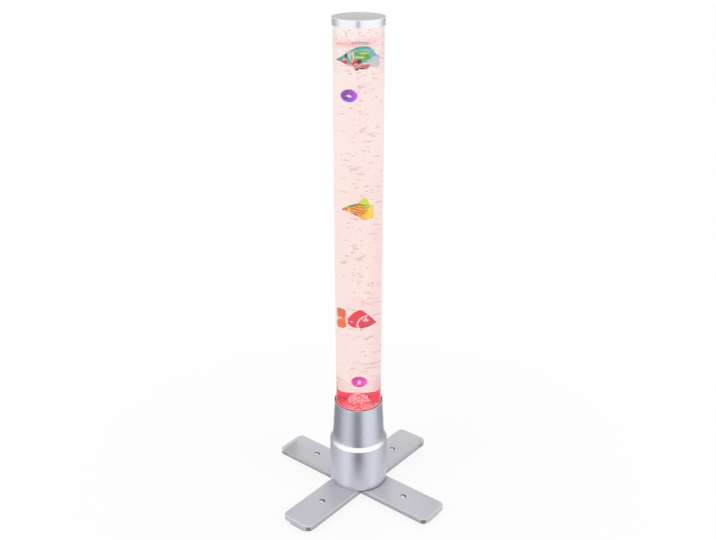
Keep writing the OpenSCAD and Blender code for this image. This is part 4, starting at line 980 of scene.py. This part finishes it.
# One body ring after the other is sized and shifted, from end to end
def fishBody(name, look):
    start, end = look["top"][0][0], look["top"][-1][0]
    deselectAll()
    bpy.ops.mesh.primitive_uv_sphere_add(segments=28, ring_count=30, radius=0.5, rotation=(0, math.pi / 2, 0))
    body = takeNew(name)
    applyPlace(body)
    body.scale = ((end - start) / 1000, 1 / 1000, 1 / 1000)
    body.location = ((start + end) / 2000, 0, 0)
    applyPlace(body)
    for x in sorted({round(v.co.x, 6) for v in body.data.vertices}):
        place = x * 1000
        share = (place - start) / (end - start) - 0.5
        ring = math.sqrt(max(0.25 - share * share, 0.0))
        high, low = along(look["top"], place), along(look["bottom"], place)
        editSome(body, "VERT", lambda v: abs(v.co.x - x) < 0.000004)
        if ring > 0.02:
            ease = min(1.0, (ring / 0.5) ** 0.5 * 1.12)     # the ends round off
            wide, tall = fishDepth(look, place) * ease / ring, (high - low) / 2 * ease / ring
            bpy.ops.transform.resize(value=(1, wide, tall), center_override=(x, 0, 0))
        bpy.ops.transform.translate(value=(0, 0, (high + low) / 2000))
    leaveEdit()
    return body


# A fin is its outline filled and given its thickness
def fishFin(name, outline, thickness):
    deselectAll()
    bpy.ops.mesh.primitive_circle_add(vertices=len(outline), radius=0.01, fill_type="NGON")
    fin = takeNew(name)
    for v, (x, z) in zip(fin.data.vertices, outline):
        v.co = (x / 1000, thickness / 2000, z / 1000)
    editAll(fin)
    bpy.ops.mesh.extrude_region_move(TRANSFORM_OT_translate={"value": (0, -thickness / 1000, 0)})
    leaveEdit()
    outwards(fin)
    return fin


def curved(points, count=5):        # a rounded outline through the fin's corners
    total = len(points)
    smooth = []
    for k in range(total):
        p0, p1, p2, p3 = (Vector(points[(k + j - 1) % total]) for j in range(4))
        for step in range(count):
            s = step / count
            smooth.append(tuple(0.5 * (2 * p1 + (p2 - p0) * s + (2 * p0 - 5 * p1 + 4 * p2 - p3) * s * s
                                       + (3 * p1 - p0 - 3 * p2 + p3) * s ** 3)))
    return smooth


def floatPlace(look):
    return across * look["side"] / 1000 + Vector((0, 0, look["up"] / 1000))


def setAfloat(piece, look):
    piece.location = floatPlace(look)
    piece.rotation_euler = (0, 0, showTurn)


def sideFin(label, look, hand):
    faces = look["faces"]
    x, z = look["sideFin"]
    outline = curved([(faces * a, b) for a, b in finLook["side"]])
    fin = fishFin(label + "SideFin", outline, finLook["sideThick"])
    fin.rotation_euler = (0, 0, math.radians(finLook["sideLean"] * hand * faces))
    fin.location = (x / 1000, hand * (fishDepth(look, x) - finLook["sideSunk"]) / 1000, z / 1000)
    applyPlace(fin)
    return fin


def fishEye(label, look, hand):     # an eyeball with a dark pupil, pressed into the head
    x, z = look["eye"]
    deselectAll()
    bpy.ops.mesh.primitive_uv_sphere_add(segments=20, ring_count=12, radius=eyeLook["radius"] / 1000,
                                         rotation=(math.radians(-90 * hand), 0, 0))
    eye = takeNew(label + "Eye")
    applyPlace(eye)
    for face in eye.data.polygons:
        face.material_index = 1 if face.normal.y * hand > eyeLook["pupil"] else 0
    eye.scale = (1, eyeLook["flat"], 1)
    eye.location = (x / 1000, hand * (fishDepth(look, x) * eyeLook["sunk"]) / 1000, z / 1000)
    smoothOver(eye)
    applyPlace(eye)
    dress(eye, finish["eye_white"], finish["eye_dark"])
    return eye


def makeFish(label, look, material):
    parts = [fishBody(label + "Body", look), fishFin(label + "Tail", curved(look["tail"]), finLook["thick"])]
    parts += [fishFin(label + "Fin", curved(outline), finLook["thick"]) for outline in look["fins"]]
    parts += [sideFin(label, look, hand) for hand in (-1, 1)]
    fish = joined(label + "Fish", parts)
    applyModifier(fish, "REMESH", mode="VOXEL", voxel_size=0.0006)
    applyModifier(fish, "SMOOTH", factor=0.5, iterations=5)
    smoothOver(fish)
    setAfloat(fish, look)
    seat(fish, label + "_float", label + "_paint", material, stands=["fish_" + label])
    eyes = joined(label + "Eyes", [fishEye(label, look, hand) for hand in (-1, 1)])
    setAfloat(eyes, look)
    seat(eyes, label + "_float", label + "_paint", finish["eye_white"], finish["eye_dark"])


def enamel(name, color, roughness):
    material, tree, surface, place = newMaterial(name)
    grained(tree, surface, place, color, roughness, 0.1, 900, 0.2, 0.03)
    surface.inputs["Coat Weight"].default_value = 0.6
    return material


finish["eye_white"] = enamel("eye_white", (0.86, 0.84, 0.80), 0.2)
finish["eye_dark"] = enamel("eye_dark", (0.02, 0.02, 0.03), 0.12)
paintedGlow = 0.46            # painted glow on the floaters, for light that the water keeps in and throws on them


# A floater's own millimetres, with x to the right in the photo, and the same bent a little
def ownPlaces(tree, place, look, scale, detail, bend):
    turn = tree.nodes.new("ShaderNodeMapping")
    turn.vector_type = "TEXTURE"
    fill(tree, turn, {"Vector": place, "Location": floatPlace(look), "Rotation": (0, 0, showTurn),
                      "Scale": (0.001, 0.001, 0.001)})
    own = turn.outputs["Vector"]
    flat = vectorNode(tree, "MULTIPLY", own, (1, 0, 1))
    push = vectorNode(tree, "SUBTRACT", noiseNode(tree, own, scale, detail, output="Color"), (0.5, 0.5, 0.5))
    return own, vectorNode(tree, "ADD", flat, vectorNode(tree, "MULTIPLY", push, bend))


def ovalMask(tree, place, centre, size, softness):
    return useGroup(tree, spotGroup, Coordinate=place, Centre=(centre[0], 0, centre[1]),
                    Size=(size[0], 1, size[1]), Softness=softness).outputs["Mask"]


# Paint laid on in the fish's own millimetres, one layer over the other
def fishPaint(label, look, base, layers):
    material, tree, surface, place = newMaterial(label + "_paint")
    own, bent = ownPlaces(tree, place, look, 0.16, 3, (3.4, 0.0, 3.4))
    x, y, z = splitNode(tree, bent)
    color = mixNode(tree, rangeNode(tree, noiseNode(tree, own, 0.2, 3), 0.35, 0.65), base[0], base[1])
    for kind, *shape, paint in layers:
        if kind == "spot":
            centre, size, soft = shape
            mask = ovalMask(tree, bent, centre, size, soft)
        elif kind == "arc":
            centre, radius, width = shape
            mask = useGroup(tree, arcGroup, Coordinate=bent, Centre=(centre[0], 0, centre[1]),
                            Radius=radius, Width=width).outputs["Mask"]
        elif kind == "bands":               # slanting stripes inside an oval
            centre, size, pitch, slant = shape
            run = mathNode(tree, "ADD", z, times(tree, x, slant))
            wave = mathNode(tree, "SINE", times(tree, run, 2 * math.pi / pitch))
            mask = times(tree, ovalMask(tree, bent, centre, size, 0.12), rangeNode(tree, wave, -0.25, 0.35))
        else:                               # "past": everything to one side of an upright line
            low, high = shape
            mask = rangeNode(tree, x, low, high)
        color = mixNode(tree, mask, color, paint)
    rays = noiseNode(tree, vectorNode(tree, "MULTIPLY", own, (0.06, 0, 0.5)), 1.6, 2)
    grain = useGroup(tree, grainGroup, Coordinate=place, Color=color, Scale=700, Shade=0.16,
                     Roughness=0.24, Roughness_Spread=0.14)
    addBump(tree, surface, rays, 0.35, 0.0005)
    fill(tree, surface, {
        "Base Color": grain.outputs["Color"], "Emission Color": grain.outputs["Color"],
        "Roughness": grain.outputs["Roughness"], "Emission Strength": paintedGlow,
        "Specular IOR Level": 0.12, "Coat Weight": 0.06, "Coat Roughness": 0.08})
    return material


finish["teal_paint"] = fishPaint("teal", fishLooks["teal"], ((0.05, 0.55, 0.47), (0.02, 0.47, 0.31)), [
    ("spot", (22, 10), (9, 11), 0.3, (0.12, 0.60, 0.66)),           # paler towards the tail
    ("spot", (2, -16), (30, 8.0), 0.2, (0.72, 0.36, 0.40)),         # rosy belly
    ("spot", (26, -9), (10, 12), 0.25, (0.66, 0.70, 0.78)),
    ("spot", (20, -6), (7, 4), 0.4, (0.50, 0.74, 0.72)),
    ("spot", (5.5, 4.5), (12, 7.5), 0.2, (0.08, 0.48, 0.01)),       # green flank
    # painted highlights: the pale streaks on the green flank and the pale line along the back
    ("spot", (9, 9.4), (8, 1.5), 0.5, (0.70, 0.80, 0.05)),
    ("spot", (1.5, 2.0), (8, 1.6), 0.5, (0.78, 0.82, 0.40)),
    ("spot", (8, 15.5), (9, 1.3), 0.5, (0.22, 0.80, 0.78)),
    ("spot", (-12, 4), (2.6, 8), 0.4, (0.55, 0.70, 0.70)),
    ("spot", (-8.4, 4), (1.5, 8), 0.4, (0.98, 0.78, 0.50)),
    ("spot", (-10.2, 0), (0.8, 6), 0.4, (0.30, 0.08, 0.06)),
    ("spot", (-15.5, 6), (2.0, 4.0), 0.4, (0.45, 0.66, 0.74)),
    ("spot", (-18.8, 4.6), (1.9, 6), 0.3, (0.0, 0.01, 0.08)),       # dark line behind the head
    ("spot", (-32, -4), (4, 3.6), 0.4, (0.24, 0.22, 0.36)),         # nose
    ("spot", (-21, -3.8), (3.6, 2.0), 0.4, (0.95, 0.52, 0.70)),
    ("spot", (-20.3, -8.8), (4.0, 4.4), 0.2, (0.66, 0.0, 0.02)),    # cheek
    ("spot", (-6, -8.8), (6.6, 5.2), 0.15, (0.66, 0.0, 0.0)),
    ("spot", (-4, -11.4), (2.6, 1.2), 0.4, (1.0, 0.60, 0.50)),
    ("spot", (-10, -6.5), (1.4, 2.2), 0.4, (1.0, 0.72, 0.66)),
    ("spot", (0.8, -5.8), (3.6, 4.0), 0.3, (0.01, 0.0, 0.005)),
    ("spot", (-5, -8.5), (2.0, 1.4), 0.4, (1.0, 0.04, 0.0)),
    ("spot", (10.5, -9.4), (4.4, 1.6), 0.4, (0.95, 0.90, 0.90)),
    ("spot", (10, -15), (7, 1.5), 0.4, (0.55, 0.0, 0.03)),
    ("spot", (8, -20), (9, 1.8), 0.4, (0.12, 0.005, 0.02)),
    ("spot", (-3, -22.5), (3.4, 2.4), 0.4, (0.03, 0.16, 0.09)),     # small fin
])
finish["yellow_paint"] = fishPaint("yellow", fishLooks["yellow"], ((0.98, 0.52, 0.0), (0.99, 0.62, 0.01)), [
    ("spot", (-12, -4), (10, 5), 0.4, (0.98, 0.60, 0.20)),
    ("bands", (0.0, 0.0), (12.5, 11), 5.2, 0.22, (0.60, 0.02, 0.0)),
    ("arc", (-2, -20.0), 31.0, 1.7, (0.06, 0.26, 0.01)),            # green upper edge
    ("spot", (-15, 7.4), (7, 2.6), 0.4, (0.16, 0.40, 0.02)),
    ("past", 13.0, 17.0, (0.95, 0.88, 0.03)),                  # tail
    ("spot", (17, -15), (9, 7), 0.5, (0.98, 0.74, 0.06)),
    ("spot", (8, 19), (7.4, 8), 0.2, (0.62, 0.88, 0.0)),            # back fin
    ("spot", (12, 7), (5, 4), 0.4, (0.42, 0.68, 0.0)),
    ("spot", (-6.5, -11.6), (4.4, 2.0), 0.35, (0.16, 0.05, 0.0)),
    ("spot", (-25, -1), (2.8, 3.2), 0.25, (0.01, 0.01, 0.01)),      # dark nose
    ("spot", (-19.5, 1.4), (2.2, 2.2), 0.3, (0.50, 0.20, 0.01)),
])
finish["red_paint"] = fishPaint("red", fishLooks["red"], ((0.80, 0.0, 0.04), (0.90, 0.005, 0.07)), [
    ("spot", (1.5, 11), (9, 10), 0.25, (0.92, 0.0, 0.02)),
    ("spot", (-8, -8), (5.5, 11), 0.3, (0.78, 0.0, 0.12)),
    ("spot", (10, -16), (15, 4), 0.3, (0.62, 0.0, 0.08)),
    ("arc", (23, -10), 21, 1.6, (1.0, 0.82, 0.86)),                 # pale curved lines
    ("spot", (14, 2.5), (3.6, 4.8), 0.3, (1.0, 0.78, 0.84)),
    ("spot", (13, 4), (1.3, 3.4), 0.3, (0.60, 0.0, 0.10)),
    ("spot", (18, -1), (2.0, 2.4), 0.3, (1.0, 0.60, 0.70)),
    ("spot", (-8, -4), (2.4, 1.4), 0.5, (1.0, 0.66, 0.76)),
    ("past", -12.6, -13.6, (1.0, 0.84, 0.84)),                 # pale edge before the tail
    ("past", -15.6, -16.8, (0.95, 0.17, 0.0)),
    ("bands", (-25, 13), (10, 11), 3.6, 0.35, (0.78, 0.06, 0.0)),
    ("bands", (-24, -14), (9, 9), 3.6, -0.3, (0.82, 0.08, 0.0)),
    ("spot", (-28, 0.5), (6, 3.2), 0.4, (1.0, 0.62, 0.50)),
])

for label, look in fishLooks.items():
    makeFish(label, look, finish[label + "_paint"])
print("fish made")


# Paints are dark, light, low, right and mark; a mark has its place and its size. The violet ball's mark is a
# painted highlight
ballLooks = {
    "violet": {
        "up": 912, "side": -14, "radius": 12.5, "mark": ((-1.0, 1.6), (4.6, 2.4)),
        "paints": ((0.13, 0.0, 0.42), (0.34, 0.01, 0.62), (0.14, 0.08, 0.85), (0.52, 0.03, 0.92),
                   (0.97, 0.80, 1.0)),
    },
    "magenta": {
        "up": 278, "side": 1, "radius": 12.5, "mark": ((0.5, 2.6), (3.6, 5.6)),
        "paints": ((0.66, 0.0, 0.38), (0.88, 0.0, 0.62), (0.55, 0.0, 0.36), (0.90, 0.03, 0.74),
                   (1.0, 0.72, 0.95)),
    },
}


def ballPaint(label, look):
    material, tree, surface, place = newMaterial(label + "_gloss")
    own, bent = ownPlaces(tree, place, look, 0.22, 2, (9.0, 0.0, 7.0))
    x, y, z = splitNode(tree, own)
    swirl = noiseNode(tree, own, 0.11, 2, 1.5)
    dark, light, low, right, mark = look["paints"]
    color = mixNode(tree, rangeNode(tree, swirl, 0.40, 0.60), dark, light)
    lower = mathNode(tree, "SUBTRACT", z, times(tree, x, 0.5))
    color = mixNode(tree, rangeNode(tree, lower, 1.0, -5.0), color, low)
    color = mixNode(tree, rangeNode(tree, x, 2.0, 8.0), color, right)
    # the mark: a painted highlight on the violet ball, a pale patch on the magenta one
    color = mixNode(tree, ovalMask(tree, bent, *look["mark"], 0.2), color, mark)
    addBump(tree, surface, noiseNode(tree, place, 500, 2), 0.03)
    fill(tree, surface, {
        "Base Color": color, "Roughness": rangeNode(tree, swirl, 0.3, 0.7, 0.06, 0.16),
        "Emission Color": color, "Emission Strength": paintedGlow,
        "Specular IOR Level": 0.15, "Coat Weight": 0.1, "Coat Roughness": 0.04})
    return material


def makeBall(label, look):
    finish[label + "_gloss"] = ballPaint(label, look)
    deselectAll()
    bpy.ops.mesh.primitive_uv_sphere_add(segments=64, ring_count=34, radius=look["radius"] / 1000)
    ball = takeNew(label + "Ball")
    editSome(ball, "FACE", lambda f: abs(f.center.z) < 0.0007)      # the moulding seam round its middle
    bpy.ops.mesh.inset(thickness=0.0002, depth=-0.00025)
    leaveEdit()
    smoothOver(ball)
    ball.rotation_euler = (math.radians(24), math.radians(-12), 0)
    ball.location = floatPlace(look)
    seat(ball, label + "_float", label + "_gloss", finish[label + "_gloss"], stands=["ball_" + label])


for label, look in ballLooks.items():
    makeBall(label, look)
print("balls made")


# A ring round each bar-end screw, painted shade at its back and right and painted highlight at its front left, for
# the recess; in it a dished head painted bright as a highlight, its hollow painted dark as shade: places, then
# outlines over the bar
screwLook = {
    "places": ((129, 0, 20.5), (0, 129, 21.5), (-129, 0, 20.5), (0, -129, 21.5)),
    "recessOutline": ((3.2, 0), (6.8, 0), (7.0, 0.15), (6.7, 0.4), (4.2, 0.3), (3.2, 0.1)),
    "head": ((0, 0), (3.9, 0), (3.9, 0.3), (3.5, 0.6), (2.7, 0.8), (1.6, 0.9), (1.2, 0.8), (1.1, 0.5),
             (0, 0.4)),
    "hollow": 0.0014, "steps": 40,
}


def shadedRecessRing(x, y, z):
    ring = turned("recessShadeRing", [(r, z + up) for r, up in screwLook["recessOutline"]], screwLook["steps"])
    ring.location = (x / 1000, y / 1000, 0)
    for face in ring.data.polygons:         # painted shade at its right and back, a painted highlight of bright steel at the front left
        face.material_index = 0 if face.center.dot(across * 0.6 - nearer) > -0.001 else 1
    dress(ring, finish["gasket_rubber"], finish["screw_steel"])
    return ring


def barScrewHead(x, y, z):
    dome = turned("screwHead", [(r, z + up) for r, up in screwLook["head"]], screwLook["steps"])
    dome.location = Vector((x / 1000, y / 1000, 0)) + (nearer - across * 0.6) * 0.0008
    # the head's brightness is a painted highlight, and its hollow is painted dark as shade
    for face in dome.data.polygons:
        hollow = math.hypot(face.center.x, face.center.y) < screwLook["hollow"]
        face.material_index = 1 if hollow and face.center.z > z / 1000 + 0.0002 else 0
    dress(dome, finish["screw_bright"], finish["part_black"])
    return dome


recessShades = joined("barRecessShades", [shadedRecessRing(*place) for place in screwLook["places"]])
smoothOver(recessShades, 35)
seat(recessShades, "stand", "gasket_rubber", finish["gasket_rubber"], finish["screw_steel"])
heads = joined("barScrewHeads", [barScrewHead(*place) for place in screwLook["places"]])
smoothOver(heads, 35)
seat(heads, "stand", "screw_steel", finish["screw_bright"], finish["part_black"])

rimLook = {
    "outline": ((50.06, 220.4), (51.5, 220.4), (51.5, 226.05), (53.1, 226.05), (53.35, 226.4), (53.0, 226.8),
                (51.4, 227.0), (50.06, 226.7)),
    "inside": 0.0510, "steps": 128,
}
rimLip = turned("rimLip", rimLook["outline"], rimLook["steps"])
for face in rimLip.data.polygons:
    face.material_index = 1 if math.hypot(face.center.x, face.center.y) < rimLook["inside"] else 0
dress(rimLip, finish["rim_rubber"], finish["rim_lit"])
smoothOver(rimLip, 40)
seat(rimLip, "stand", "gasket_rubber", finish["rim_rubber"], finish["rim_lit"], stands=["rim_gasket"])
print("screws and rim made")


softened = {
    # node: width of the rounded edge in mm, segments, angle in degrees that counts as an edge
    "base_bar_x": (0.6, 2, 28), "base_bar_y": (0.6, 2, 28),
    "foot_right": (0.8, 2, 40), "foot_back": (0.8, 2, 40),
    "foot_left": (0.8, 2, 40), "foot_front": (0.8, 2, 40),
    "foot_pads": (0.4, 2, 40), "bar_screws": (0.15, 2, 35),
    "base_housing": (0.5, 2, 40), "shoulder_ring": (0.4, 2, 40), "tube_sleeve": (0.4, 2, 40),
    "cap": (0.3, 2, 40), "air_nozzle": (0.3, 2, 40), "tube_floor": (0.2, 2, 40),
    "rear_pocket": (0.4, 2, 40), "switch_rocker": (0.4, 2, 40), "dc_nut": (0.2, 2, 40),
}
capLook = {"topEdge": 0.0005, "liningRadius": 0.0505, "liningTop": 0.002}


def capFace(face):              # 1 for the top, 2 for the lining, 0 for the silver side
    if face.normal.z > 0.9 and face.center.z > cadHigh.z - capLook["topEdge"]:
        return 1
    reach = math.hypot(face.center.x, face.center.y)
    return 2 if reach < capLook["liningRadius"] and face.center.z < cadHigh.z - capLook["liningTop"] else 0


# A copy of a solid that shows, with its edges rounded
def softenedCopy(node):
    width, segments, angle = softened[node]
    piece = nodes[node].copy()
    piece.data = nodes[node].data.copy()
    for key in list(piece.keys()):
        if key.startswith("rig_"):
            del piece[key]
    piece.parent = None
    scene.collection.objects.link(piece)
    words = node.split("_")
    piece.name = words[0] + "".join(word.capitalize() for word in words[1:]) + "Soft"
    editAll(piece)
    bpy.ops.mesh.remove_doubles(threshold=0.000002)
    bpy.ops.mesh.dissolve_limited(angle_limit=math.radians(0.6))
    leaveEdit()
    if piece.data.has_custom_normals:
        bpy.ops.mesh.customdata_custom_splitnormals_clear()
    smoothOver(piece, angle)
    applyModifier(piece, "BEVEL", limit_method="ANGLE", angle_limit=math.radians(angle), width=width / 1000,
                  segments=segments, use_clamp_overlap=True, harden_normals=True, miter_outer="MITER_ARC")
    looks = ["housing_silver" if node == "base_housing" else slotOf[node]]
    if node == "cap":
        looks = ["cap_silver", "cap_top", "cap_lining"]
        for face in piece.data.polygons:
            face.material_index = capFace(face)
    seat(piece, bodyOf[node], slotOf[node], *(finish[look] for look in looks), stands=[node])


for node in softened:
    softenedCopy(node)
print("softened:", len(softened))

for name, piece in nodes.items():            # the pieces inside keep their solids and get their finish
    piece.data.materials.clear()
    piece.data.materials.append(finish[slotOf[name]])
print("inner pieces finished")

scene.view_settings.view_transform = "Standard"
